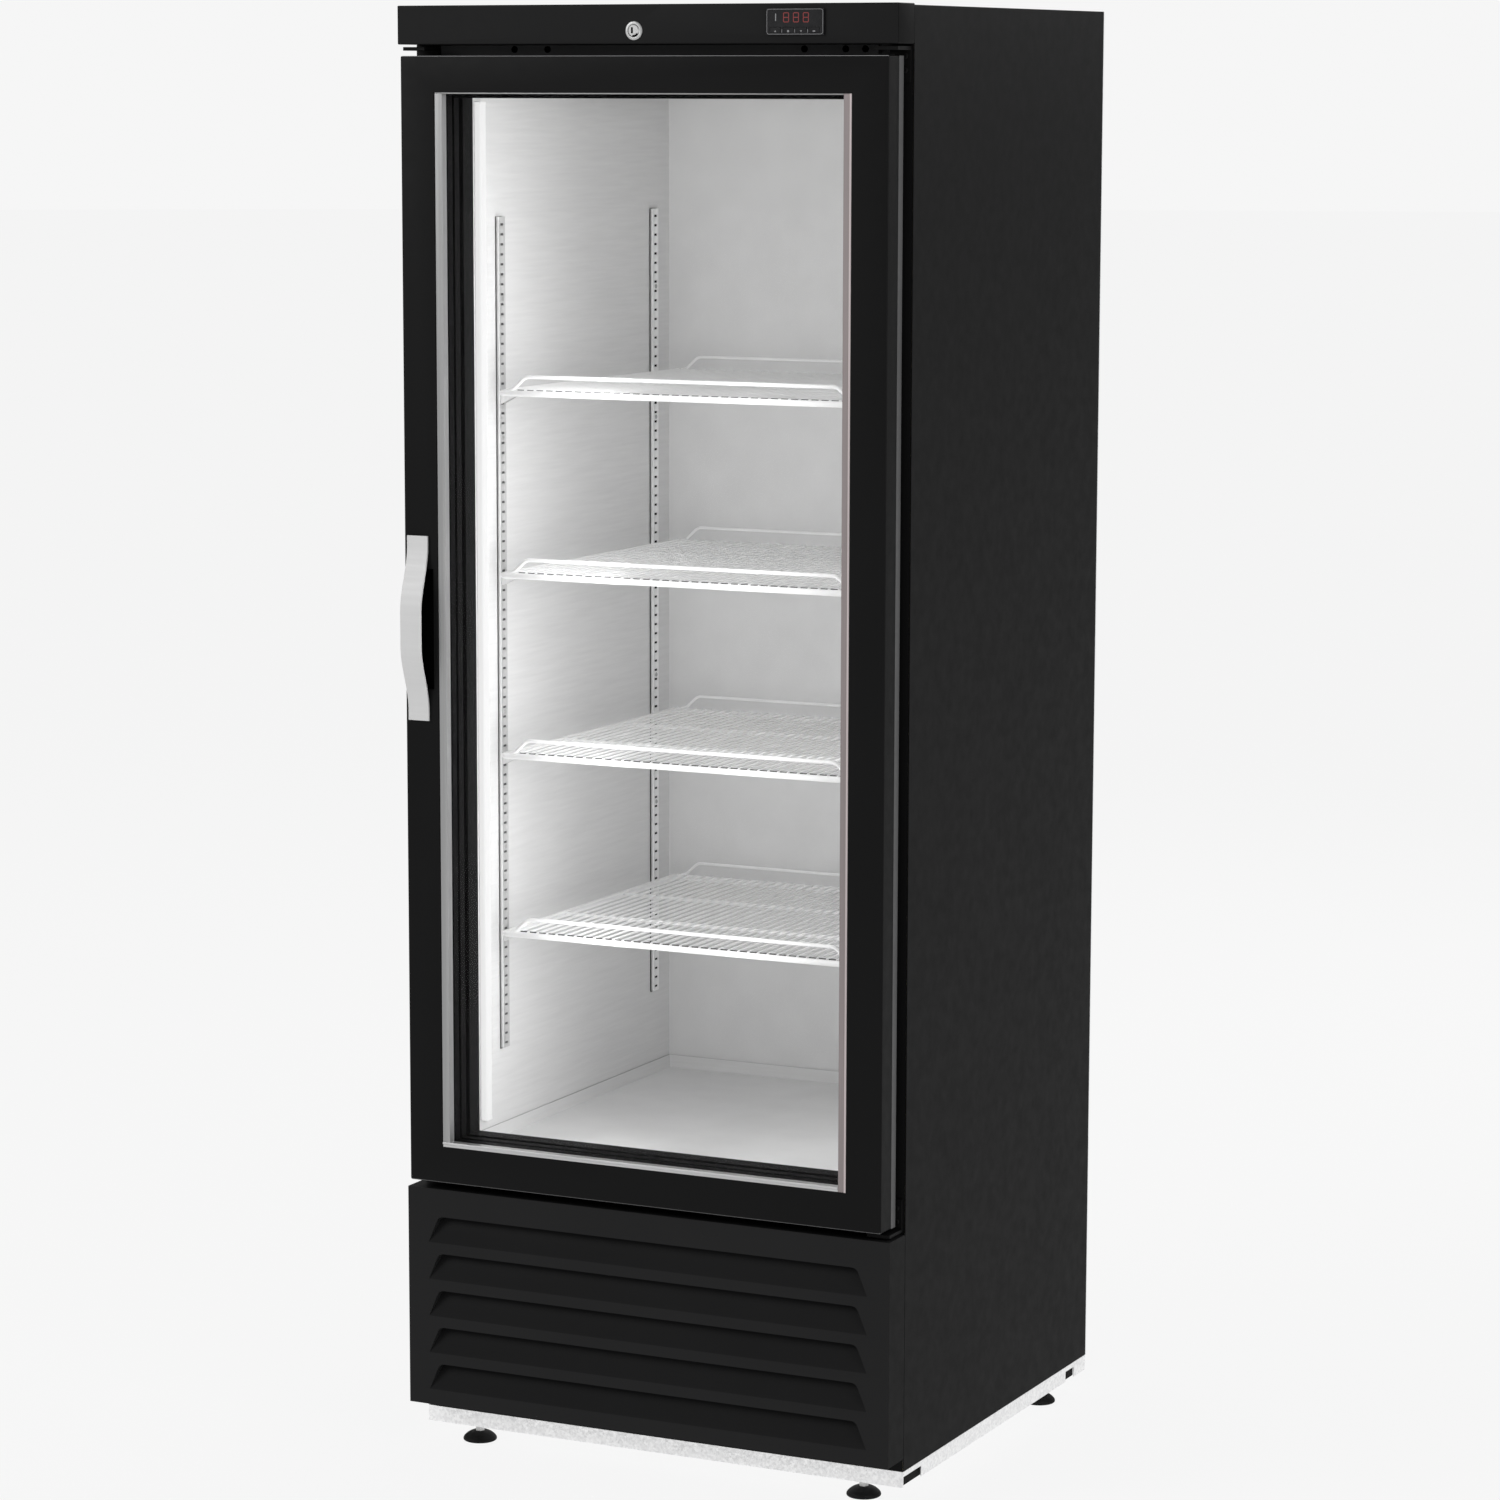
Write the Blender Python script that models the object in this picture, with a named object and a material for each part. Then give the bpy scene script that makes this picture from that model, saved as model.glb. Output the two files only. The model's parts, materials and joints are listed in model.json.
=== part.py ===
"""A single glass-door reach-in refrigerator with its machine compartment underneath.

The origin is on the floor, at the middle of the footprint. The front faces -Y, +X is to the
right of a person facing the front, and +Z is up. Everything is in metres.
"""

from math import cos, pi, radians, sin

import bmesh
import bpy
from mathutils import Matrix

# ---- Driving dimensions ----
HALF_WIDTH = 0.343
FRONT = -0.316  # front plane of the header and the lower grille
BODY_FRONT = -0.268  # the body's own front plane, behind the door
BACK = 0.347
TOP = 1.864

GAP = 0.0003  # gap between fixed pieces that touch
RUNNING_GAP = 0.0001  # radial clearance of a pin or shaft in its bore
SHEET = 0.0012  # painted sheet steel
LINER = 0.0010  # inner liner sheet
PAST = 0.01  # how far a cutter reaches past the wall that it cuts

PAN_BOTTOM = 0.024
PAN_TOP = 0.045
GRILLE_BOTTOM = 0.062
GRILLE_TOP = 0.3515
HEADER_BOTTOM = 1.816
BODY_TOP = 1.862
FOAM_BOTTOM = 0.3535

# Food compartment, inside the foam
CAVITY_HALF = 0.2775
CAVITY_FLOOR = 0.3955
CAVITY_CEILING = 1.8075
CAVITY_BACK = 0.3075
LIP_BACK = -0.2435  # rear face of the foam lip round the doorway
DOORWAY_HALF = 0.2755
DOORWAY_BOTTOM = 0.4175
DOORWAY_TOP = 1.7500

# Door
DOOR_HALF = 0.3345
DOOR_SKIN = 0.002
DOOR_BOTTOM = 0.363
DOOR_TOP = 1.802
DOOR_FRONT = -0.3245
DOOR_SKIN_BACK = -0.2935
DOOR_BACK = -0.2796
WINDOW_HALF = 0.2865
WINDOW_BOTTOM = 0.4105
WINDOW_TOP = 1.7570
GLASS_FRONT = -0.3120
GLASS_BACK = -0.2920
PANE = 0.004
HINGE_X = 0.320
HINGE_Y = -0.300
PIN_RADIUS = 0.0045
BUSH_RADIUS = 0.0075
PLATE = 0.0045  # hinge bracket steel

# Handle, and the finger pocket behind it
HANDLE_LEFT = -0.3292
HANDLE_RIGHT = -0.2994
HANDLE_BOTTOM = 0.9654
HANDLE_TOP = 1.2018
POCKET_LEFT = -0.328
POCKET_RIGHT = -0.293
POCKET_BOTTOM = 1.006
POCKET_TOP = 1.160
POCKET_BACK = -0.3035

# Shelves
SHELF_COUNT = 4
SHELF_TOP = 1.3815
SHELF_PITCH = 0.234
SHELF_HALF = 0.259
SHELF_FRONT = -0.216
SHELF_BACK = 0.285
SHELF_LEVELS = [SHELF_TOP - SHELF_PITCH * index for index in range(SHELF_COUNT)]

PILASTER_BOTTOM = 0.517
PILASTER_TOP = 1.600
PILASTER_ROWS = {"front": -0.178, "rear": 0.256}

# Louvres of the lower grille
LOUVRE_COUNT = 5
LOUVRE_TOP = 0.3147
LOUVRE_PITCH = 0.0493
LOUVRE_HEIGHT = 0.035
LOUVRE_DEPTH = 0.015
LOUVRE_HALF = 0.306

# Header controls
LOCK_X = -0.0098
LOCK_Z = 1.832
PLUG_RADIUS = 0.0075
CAM_REACH = 0.036
CAM_FRONT = FRONT + 0.0075  # the slot that the cam turns down through
CAM_BACK = FRONT + 0.0195
CONTROL_LEFT = 0.1701
CONTROL_RIGHT = 0.2466
CONTROL_BOTTOM = 1.826
CONTROL_TOP = 1.858
KEY_COUNT = 4

# Refrigeration
EVAPORATOR_BOTTOM = 1.7585
EVAPORATOR_FAN_Y = -0.050
CONDENSER_HALF = 0.180
CONDENSER_TOP = 0.300
CONDENSER_FAN_Z = 0.175
SHAFT_RADIUS = 0.003
COMPRESSOR = (-0.150, 0.150)
LEAD = (-0.315, 0.075)  # (x, z) of the hole for the power lead

FEET = {
    "front_left": (-0.278, -0.245),
    "front_right": (0.278, -0.245),
    "rear_left": (-0.3145, 0.249),
    "rear_right": (0.3145, 0.249),
}

SIDES = {"left": -1, "right": 1}

# ---- Materials: colour, roughness, metallic ----
FINISHES = {
    "black_paint": ((0.013, 0.013, 0.014), 0.42, 0.0),
    "galvanised_steel": ((0.78, 0.79, 0.80), 0.38, 0.9),
    "liner_steel": ((0.72, 0.73, 0.74), 0.35, 0.7),
    "foam": ((0.83, 0.74, 0.46), 0.9, 0.0),
    "black_plastic": ((0.012, 0.012, 0.012), 0.35, 0.0),
    "white_plastic": ((0.85, 0.85, 0.84), 0.4, 0.0),
    "grey_plastic": ((0.10, 0.10, 0.105), 0.4, 0.0),
    "rubber": ((0.008, 0.008, 0.008), 0.6, 0.0),
    "anodised_aluminium": ((0.60, 0.61, 0.62), 0.3, 0.9),
    "satin_steel": ((0.68, 0.68, 0.68), 0.28, 1.0),
    "zinc_steel": ((0.70, 0.71, 0.72), 0.35, 0.8),
    "white_wire": ((0.88, 0.88, 0.88), 0.3, 0.0),
    "red_lens": ((0.05, 0.004, 0.004), 0.1, 0.0),
    "clear_glass": ((0.92, 0.96, 0.95), 0.02, 0.0),
}


def finish(name):
    """The Principled material of this name, made once."""
    if name in bpy.data.materials:
        return bpy.data.materials[name]
    colour, roughness, metallic = FINISHES[name]
    made = bpy.data.materials.new(name)
    made.use_nodes = True
    shader = made.node_tree.nodes["Principled BSDF"]
    shader.inputs["Base Color"].default_value = (*colour, 1.0)
    shader.inputs["Roughness"].default_value = roughness
    shader.inputs["Metallic"].default_value = metallic
    if name == "clear_glass":
        shader.inputs["Transmission Weight"].default_value = 1.0
        shader.inputs["IOR"].default_value = 1.45
    made.diffuse_color = (*colour, 1.0)
    return made


# ---- Building blocks ----
def new_object(name, mesh_data, material):
    """Puts the bmesh in the scene as an object with one material."""
    bmesh.ops.recalc_face_normals(mesh_data, faces=mesh_data.faces)
    mesh = bpy.data.meshes.new(name)
    mesh_data.to_mesh(mesh)
    mesh_data.free()
    made = bpy.data.objects.new(name, mesh)
    bpy.context.scene.collection.objects.link(made)
    mesh.materials.append(finish(material))
    return made


def box(low, high):
    """A box as the pair of its lowest and highest corners."""
    return tuple(low), tuple(high)


def mirrored_box(side, low, high):
    """The box on the right side (side 1), or its mirror image on the left (side -1)."""
    if side > 0:
        return box(low, high)
    return (-high[0], low[1], low[2]), (-low[0], high[1], high[2])


def blocks(name, material, solids, voids=()):
    """One solid: the union of axis-aligned boxes, less the void boxes."""
    everything = list(solids) + list(voids)
    planes = [
        sorted({round(corner[axis], 6) for pair in everything for corner in pair})
        for axis in range(3)
    ]

    def inside(centre, pair):
        return all(pair[0][axis] < centre[axis] < pair[1][axis] for axis in range(3))

    filled = set()
    for i in range(len(planes[0]) - 1):
        for j in range(len(planes[1]) - 1):
            for k in range(len(planes[2]) - 1):
                cell = (i, j, k)
                centre = [(planes[a][cell[a]] + planes[a][cell[a] + 1]) / 2 for a in range(3)]
                if any(inside(centre, pair) for pair in voids):
                    continue
                if any(inside(centre, pair) for pair in solids):
                    filled.add(cell)

    mesh_data = bmesh.new()
    corners = {}

    def corner(index):
        if index not in corners:
            place = [planes[axis][index[axis]] for axis in range(3)]
            corners[index] = mesh_data.verts.new(place)
        return corners[index]

    for cell in sorted(filled):
        for axis in range(3):
            for step in (0, 1):
                neighbour = list(cell)
                neighbour[axis] += 1 if step else -1
                if tuple(neighbour) in filled:
                    continue
                add_cell_face(mesh_data, corner, cell, axis, step)
    bmesh.ops.dissolve_limit(
        mesh_data,
        angle_limit=radians(0.1),
        verts=mesh_data.verts,
        edges=mesh_data.edges,
    )
    return new_object(name, mesh_data, material)


def add_cell_face(mesh_data, corner, cell, axis, step):
    """One square face of a grid cell, on its low (0) or high (1) side along the axis."""
    first = (axis + 1) % 3
    second = (axis + 2) % 3
    around = [(0, 0), (1, 0), (1, 1), (0, 1)]
    if not step:
        around.reverse()
    face = []
    for offset_first, offset_second in around:
        index = list(cell)
        index[axis] += step
        index[first] += offset_first
        index[second] += offset_second
        face.append(corner(tuple(index)))
    mesh_data.faces.new(face)


def turned(name, material, profile, centre, axis="Z", segments=24, hollow=False):
    """A turned solid from (radius, height) points, closed on its axis or, if hollow, on itself."""
    mesh_data = bmesh.new()
    rings = []
    for radius, height in profile:
        if radius == 0:
            rings.append([mesh_data.verts.new((0, 0, height))])
            continue
        ring = []
        for index in range(segments):
            angle = 2 * pi * index / segments
            ring.append(mesh_data.verts.new((radius * cos(angle), radius * sin(angle), height)))
        rings.append(ring)
    pairs = list(zip(rings, rings[1:]))
    if hollow:
        pairs.append((rings[-1], rings[0]))
    for lower, upper in pairs:
        for index in range(segments):
            after = (index + 1) % segments
            if len(lower) == 1:
                mesh_data.faces.new((lower[0], upper[after], upper[index]))
            elif len(upper) == 1:
                mesh_data.faces.new((lower[index], lower[after], upper[0]))
            else:
                mesh_data.faces.new((lower[index], lower[after], upper[after], upper[index]))
    made = new_object(name, mesh_data, material)
    made.location = centre
    if axis == "Y":
        made.rotation_euler = (-pi / 2, 0, 0)
    shade_round(made)
    return made


def shade_round(made):
    """Smooth shading that keeps the sharp edges of a turned or bent piece."""
    made.data.shade_smooth()
    made.data.set_sharp_from_angle(angle=radians(35))


def prism(name, material, outline, low_x, high_x):
    """A solid with this (y, z) outline, running along X."""
    mesh_data = bmesh.new()
    ends = []
    for x in (low_x, high_x):
        ends.append([mesh_data.verts.new((x, y, z)) for y, z in outline])
    count = len(outline)
    mesh_data.faces.new(ends[0])
    mesh_data.faces.new(reversed(ends[1]))
    for index in range(count):
        after = (index + 1) % count
        mesh_data.faces.new((ends[0][index], ends[1][index], ends[1][after], ends[0][after]))
    return new_object(name, mesh_data, material)


def as_tool(made):
    """Hides a shape that only cuts or joins another."""
    made.hide_render = True
    made.display_type = "WIRE"
    return made


def combine(made, tool, operation):
    """A Boolean on the object: DIFFERENCE cuts the tool away, UNION joins it on."""
    modifier = made.modifiers.new(f"{operation.lower()}_{tool.name}", "BOOLEAN")
    modifier.operation = operation
    modifier.object = as_tool(tool)
    return made


def drill(made, centre, radius, depth, axis="Z"):
    """A round hole through the object, centred on this point."""
    profile = [(0, -depth / 2), (radius, -depth / 2), (radius, depth / 2), (0, depth / 2)]
    tool = turned(f"{made.name}_drill", "black_plastic", profile, centre, axis)
    return combine(made, tool, "DIFFERENCE")


def frame_ring(front, back, outer, inner):
    """Solids and voids of a rectangular ring; outer and inner are (half width, bottom, top)."""
    solid = box((-outer[0], front, outer[1]), (outer[0], back, outer[2]))
    void = box((-inner[0], front - 0.001, inner[1]), (inner[0], back + 0.001, inner[2]))
    return solid, void


def fan_hub(name, material, radius, front, back, shaft_end, centre, axis="Z"):
    """A fan hub with a blind bore in its back face, which the motor's shaft turns in."""
    bore = SHAFT_RADIUS + RUNNING_GAP
    profile = [
        (0, front),
        (radius, front),
        (radius, back),
        (bore, back),
        (bore, shaft_end),
        (0, shaft_end),
    ]
    return turned(name, material, profile, centre, axis)


def fan_blades(name, material, count, hub, tip, chord, thickness, pitch):
    """Flat pitched blades round +Z, as one mesh that a hub then joins."""
    mesh_data = bmesh.new()
    length = tip - hub
    for index in range(count):
        turn = Matrix.Rotation(2 * pi * index / count, 4, "Z")
        tilt = Matrix.Rotation(pitch, 4, "X")
        reach = Matrix.Translation((hub + length / 2, 0, 0))
        size = Matrix.Diagonal((length, chord, thickness, 1))
        bmesh.ops.create_cube(mesh_data, size=1, matrix=turn @ reach @ tilt @ size)
    return new_object(name, mesh_data, material)


# ---- Body shell ----
def base_pan():
    """The galvanised tray that everything stands on, with down-turned edges and square nuts."""
    edge = HALF_WIDTH - 0.0005
    front = BODY_FRONT
    back = BACK - 0.0005
    wall = 0.0015
    solids = [box((-edge, front, PAN_TOP - wall), (edge, back, PAN_TOP))]
    solids.append(box((-edge, front, PAN_BOTTOM), (edge, front + wall, PAN_TOP)))
    solids.append(box((-edge, back - wall, PAN_BOTTOM), (edge, back, PAN_TOP)))
    voids = []
    for side in SIDES.values():
        low = (edge - wall, front, PAN_BOTTOM)
        solids.append(mirrored_box(side, low, (edge, back, PAN_TOP)))
        for start, end in ((-0.2665, -0.211), (0.276, 0.306)):
            low = (edge - 0.01, start, PAN_BOTTOM - 0.001)
            voids.append(mirrored_box(side, low, (edge + 0.01, end, PAN_BOTTOM + 0.014)))
    for x, y in FEET.values():
        solids.append(box((x - 0.011, y - 0.011, 0.034), (x + 0.011, y + 0.011, PAN_TOP - 0.001)))
        low = (x - 0.0056, y - 0.0056, 0.033)
        voids.append(box(low, (x + 0.0056, y + 0.0056, PAN_TOP - wall)))
    return blocks("base_pan", "galvanised_steel", solids, voids)


def side_panel(name, side):
    low = (HALF_WIDTH - SHEET, BODY_FRONT, PAN_TOP + GAP)
    high = (HALF_WIDTH, BACK - SHEET - GAP, BODY_TOP)
    return blocks(f"side_panel_{name}", "black_paint", [mirrored_box(side, low, high)])


def top_panel():
    edge = HALF_WIDTH - SHEET - GAP
    low = (-edge, BODY_FRONT, BODY_TOP - SHEET)
    return blocks("top_panel", "black_paint", [box(low, (edge, BACK - SHEET - GAP, BODY_TOP))])


def back_panel():
    low = (-HALF_WIDTH, BACK - SHEET, GRILLE_TOP + GAP)
    return blocks("back_panel", "galvanised_steel", [box(low, (HALF_WIDTH, BACK, BODY_TOP))])


def rear_grille():
    """The lower rear cover, with rows of air slots and the hole for the power lead."""
    panel = box((-HALF_WIDTH, BACK - SHEET, PAN_TOP + GAP), (HALF_WIDTH, BACK, GRILLE_TOP))
    voids = []
    for row in range(7):
        bottom = 0.100 + 0.032 * row
        for left in (-0.29, 0.01):
            low = (left, BACK - PAST, bottom)
            voids.append(box(low, (left + 0.20, BACK + PAST, bottom + 0.012)))
    made = blocks("rear_grille", "galvanised_steel", [panel], voids)
    return drill(made, (LEAD[0], BACK, LEAD[1]), 0.0105, 2 * PAST, "Y")


def front_frame():
    """The steel face of the body round the doorway, which the gasket closes on."""
    solid, void = frame_ring(
        BODY_FRONT,
        BODY_FRONT + SHEET,
        (HALF_WIDTH - SHEET - GAP, GRILLE_TOP + 0.001, BODY_TOP - SHEET - GAP),
        (CAVITY_HALF, DOORWAY_BOTTOM - 0.002, DOORWAY_TOP + 0.002),
    )
    return blocks("front_frame", "black_paint", [solid], [void])


def insulation_foam():
    edge = HALF_WIDTH - SHEET - 2 * GAP
    low = (-edge, BODY_FRONT + SHEET + GAP, FOAM_BOTTOM)
    high = (edge, BACK - SHEET - 2 * GAP, BODY_TOP - SHEET - GAP)
    cavity = box(
        (-CAVITY_HALF, LIP_BACK, CAVITY_FLOOR),
        (CAVITY_HALF, CAVITY_BACK, CAVITY_CEILING),
    )
    doorway = box(
        (-CAVITY_HALF, BODY_FRONT - PAST, DOORWAY_BOTTOM - 0.002),
        (CAVITY_HALF, LIP_BACK + PAST, DOORWAY_TOP + 0.002),
    )
    return blocks("insulation_foam", "foam", [box(low, high)], [cavity, doorway])


def inner_liner():
    """The sheet lining of the food compartment, open at the doorway."""
    outside = box(
        (-CAVITY_HALF + GAP, LIP_BACK + GAP, CAVITY_FLOOR + GAP),
        (CAVITY_HALF - GAP, CAVITY_BACK - GAP, CAVITY_CEILING - GAP),
    )
    inside = box(
        [edge + LINER for edge in outside[0]],
        [edge - LINER for edge in outside[1]],
    )
    doorway = box(
        (inside[0][0], LIP_BACK - PAST, DOORWAY_BOTTOM - 0.0015),
        (inside[1][0], LIP_BACK + PAST, DOORWAY_TOP + 0.0015),
    )
    return blocks("inner_liner", "liner_steel", [outside], [inside, doorway])


def floor_tray():
    """The loose floor of the food compartment, with an upstand along three sides."""
    half = CAVITY_HALF - GAP - LINER - 0.0005
    front = LIP_BACK + GAP + LINER + 0.0005
    back = CAVITY_BACK - GAP - LINER - 0.0005
    bottom = CAVITY_FLOOR + GAP + LINER + 0.0004
    upstand = 0.0190
    outside = box((-half, front, bottom), (half, back, bottom + upstand))
    inside = box(
        (-half + LINER, front - PAST, bottom + LINER),
        (half - LINER, back - LINER, bottom + upstand + PAST),
    )
    return blocks("floor_tray", "liner_steel", [outside], [inside])


def breaker_strip():
    """The black plastic surround between the cold liner and the outer steel."""
    doorway = (DOORWAY_HALF, DOORWAY_BOTTOM, DOORWAY_TOP)
    lining, opening = frame_ring(
        BODY_FRONT - 0.0010,
        LIP_BACK - GAP,
        (CAVITY_HALF - 0.0004, DOORWAY_BOTTOM - 0.0016, DOORWAY_TOP + 0.0016),
        doorway,
    )
    overlap = 0.0115
    flange = box(
        (-DOORWAY_HALF - overlap, BODY_FRONT - 0.0017, DOORWAY_BOTTOM - overlap),
        (DOORWAY_HALF + overlap, BODY_FRONT - GAP, DOORWAY_TOP + overlap),
    )
    return blocks("breaker_strip", "black_plastic", [lining, flange], [opening])


# ---- Header and its controls ----
def header_panel():
    """The hollow front header, with holes for the lock, its cam and the controller."""
    shell = box((-HALF_WIDTH, FRONT, HEADER_BOTTOM), (HALF_WIDTH, BODY_FRONT - 0.0005, TOP))
    hollow = box(
        (-HALF_WIDTH + SHEET, FRONT + SHEET, HEADER_BOTTOM + SHEET),
        (HALF_WIDTH - SHEET, BODY_FRONT + PAST, TOP - SHEET),
    )
    rebate = 0.0022
    control_hole = box(
        (CONTROL_LEFT + rebate, FRONT - PAST, CONTROL_BOTTOM + rebate),
        (CONTROL_RIGHT - rebate, FRONT + 0.005, CONTROL_TOP - rebate),
    )
    cam_slot = box(
        (LOCK_X - 0.009, CAM_FRONT, HEADER_BOTTOM - PAST),
        (LOCK_X + CAM_REACH + 0.002, CAM_BACK, HEADER_BOTTOM + 0.005),
    )
    made = blocks("header_panel", "black_paint", [shell], [hollow, control_hole, cam_slot])
    return drill(made, (LOCK_X, FRONT, LOCK_Z), 0.0099, PAST, "Y")


def lock():
    """Key lock: a fixed housing, and a plug that turns with the cam on its back end."""
    back = FRONT + 0.0105
    bore = PLUG_RADIUS + RUNNING_GAP
    housing = [
        (bore, FRONT - 0.0018),
        (0.0115, FRONT - 0.0014),
        (0.0115, FRONT - GAP),
        (0.0095, FRONT - GAP),
        (0.0095, back),
        (bore, back),
    ]
    plug = [
        (0, FRONT - 0.0022),
        (PLUG_RADIUS, FRONT - 0.0022),
        (PLUG_RADIUS, back + 0.0016),
        (0, back + 0.0016),
    ]
    centre = (LOCK_X, 0, LOCK_Z)
    turned("lock_housing", "satin_steel", housing, centre, "Y", hollow=True)
    made = turned("lock_plug", "satin_steel", plug, centre, "Y")
    low = (LOCK_X - 0.006, back + 0.0006, LOCK_Z - 0.006)
    high = (LOCK_X + CAM_REACH, back + 0.0030, LOCK_Z + 0.006)
    combine(made, blocks("lock_cam", "satin_steel", [box(low, high)]), "UNION")


def controller():
    """The digital thermostat: bezel and case, red display window and four membrane keys."""
    front = FRONT - 0.003
    bezel = box(
        (CONTROL_LEFT, front, CONTROL_BOTTOM),
        (CONTROL_RIGHT, FRONT - GAP, CONTROL_TOP),
    )
    case = box(
        (CONTROL_LEFT + 0.0027, FRONT - 0.001, CONTROL_BOTTOM + 0.0027),
        (CONTROL_RIGHT - 0.0027, FRONT + 0.040, CONTROL_TOP - 0.0027),
    )
    window_low = (0.1800, CONTROL_BOTTOM + 0.0135)
    window_high = (0.2375, CONTROL_TOP - 0.0045)
    voids = [
        box(
            (window_low[0], front - PAST, window_low[1]),
            (window_high[0], front + 0.0016, window_high[1]),
        )
    ]
    pitch = (CONTROL_RIGHT - CONTROL_LEFT - 0.008) / KEY_COUNT
    for index in range(KEY_COUNT):
        left = CONTROL_LEFT + 0.004 + pitch * index + 0.0014
        right = left + pitch - 0.0028
        bottom = CONTROL_BOTTOM + 0.0026
        top = bottom + 0.0070
        voids.append(box((left, front - PAST, bottom), (right, front + 0.0018, top)))
        blocks(
            f"control_key_{index + 1}",
            "grey_plastic",
            [
                box(
                    (left + GAP, front - 0.0005, bottom + GAP),
                    (right - GAP, front + 0.0010, top - GAP),
                )
            ],
        )
    blocks("controller_housing", "grey_plastic", [bezel, case], voids)
    blocks(
        "display_window",
        "red_lens",
        [
            box(
                (window_low[0] + GAP, front + 0.0002, window_low[1] + GAP),
                (window_high[0] - GAP, front + 0.0013, window_high[1] - GAP),
            )
        ],
    )


# ---- Door ----
def door_frame():
    """The painted outer skin of the door, open at the back, with a finger pocket on the left."""
    half = WINDOW_HALF + GAP
    bottom = WINDOW_BOTTOM - GAP
    top = WINDOW_TOP + GAP
    skin = box((-DOOR_HALF, DOOR_FRONT, DOOR_BOTTOM), (DOOR_HALF, DOOR_SKIN_BACK, DOOR_TOP))
    hollow = box(
        (-DOOR_HALF + DOOR_SKIN, DOOR_FRONT + DOOR_SKIN, DOOR_BOTTOM + DOOR_SKIN),
        (DOOR_HALF - DOOR_SKIN, DOOR_SKIN_BACK + PAST, DOOR_TOP - DOOR_SKIN),
    )
    window = box((-half, DOOR_FRONT - PAST, bottom), (half, DOOR_SKIN_BACK + PAST, top))
    pocket = box(
        (POCKET_LEFT, DOOR_FRONT - PAST, POCKET_BOTTOM),
        (POCKET_RIGHT, DOOR_FRONT + PAST, POCKET_TOP),
    )
    strike = box(
        (LOCK_X - 0.009, CAM_FRONT, DOOR_TOP - 0.005),
        (LOCK_X + 0.030, CAM_BACK, DOOR_TOP + 0.005),
    )
    made = blocks("door_frame", "black_paint", [skin], [hollow, window, pocket, strike])
    rim = 0.0015
    rim_solid, rim_void = frame_ring(
        DOOR_FRONT + 0.0005,
        DOOR_FRONT + 0.0110,
        (half + rim, bottom - rim, top + rim),
        (half, bottom, top),
    )
    combine(made, blocks("door_frame_rim", "black_paint", [rim_solid], [rim_void]), "UNION")
    for height in (DOOR_BOTTOM, DOOR_TOP):
        drill(made, (HINGE_X, HINGE_Y, height), 0.0079, 2 * PAST)
    return made


def door_inner_frame():
    """The plastic inner frame that fills the skin, holds the glass and carries the gasket."""
    clear = DOOR_SKIN + GAP
    core = box(
        (-DOOR_HALF + clear, GLASS_FRONT - 0.0002, DOOR_BOTTOM + clear),
        (DOOR_HALF - clear, DOOR_BACK, DOOR_TOP - clear),
    )
    rear = box(
        (-DOOR_HALF, DOOR_SKIN_BACK + GAP, DOOR_BOTTOM),
        (DOOR_HALF, DOOR_BACK, DOOR_TOP),
    )
    ahead = DOOR_FRONT - PAST
    glass = box(
        (-WINDOW_HALF + 0.0017, ahead, WINDOW_BOTTOM - 0.0023),
        (WINDOW_HALF - 0.0017, GLASS_BACK + GAP, WINDOW_TOP + 0.0078),
    )
    sight = box(
        (-DOORWAY_HALF, ahead, DOORWAY_BOTTOM),
        (DOORWAY_HALF, DOOR_BACK + PAST, DOORWAY_TOP),
    )
    pocket = box(
        (POCKET_LEFT - 0.0005, ahead, POCKET_BOTTOM - 0.0005),
        (POCKET_RIGHT + 0.0005, POCKET_BACK + 0.0005, POCKET_TOP + 0.0005),
    )
    strike = box(
        (LOCK_X - 0.009, CAM_FRONT - 0.004, DOOR_TOP - 0.012),
        (LOCK_X + 0.030, CAM_BACK + 0.0005, DOOR_TOP + PAST),
    )
    voids = [glass, sight, pocket, strike]
    bush_depth = 0.0165
    for low, high in (
        (DOOR_BOTTOM - PAST, DOOR_BOTTOM + bush_depth),
        (DOOR_TOP - bush_depth, DOOR_TOP + PAST),
    ):
        voids.append(
            box(
                (HINGE_X - 0.009, ahead, low),
                (HINGE_X + 0.009, HINGE_Y + 0.0085, high),
            )
        )
    return blocks("door_inner_frame", "black_plastic", [core, rear], voids)


def window_trim():
    """The aluminium ring round the glass: wide uprights, narrow head, slightly deeper sill."""
    solid, void = frame_ring(
        DOOR_FRONT + 0.0005,
        GLASS_FRONT - 0.0005,
        (WINDOW_HALF, WINDOW_BOTTOM, WINDOW_TOP),
        (DOORWAY_HALF, DOORWAY_BOTTOM - 0.0005, WINDOW_TOP - 0.0018),
    )
    return blocks("window_trim", "anodised_aluminium", [solid], [void])


def glass_unit():
    """The sealed double glazing: two panes and the spacer between them."""
    half = WINDOW_HALF - 0.0020
    bottom = WINDOW_BOTTOM - 0.0020
    top = WINDOW_TOP + 0.0075
    outer = box((-half, GLASS_FRONT, bottom), (half, GLASS_FRONT + PANE, top))
    inner = box((-half, GLASS_BACK - PANE, bottom), (half, GLASS_BACK, top))
    rail = 0.0082
    spacer, space = frame_ring(
        GLASS_FRONT + PANE + GAP,
        GLASS_BACK - PANE - GAP,
        (half, bottom, top),
        (half - rail, bottom + rail, top - rail),
    )
    blocks("glass_outer", "clear_glass", [outer])
    blocks("glass_inner", "clear_glass", [inner])
    blocks("glass_spacer", "black_plastic", [spacer], [space])


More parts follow.
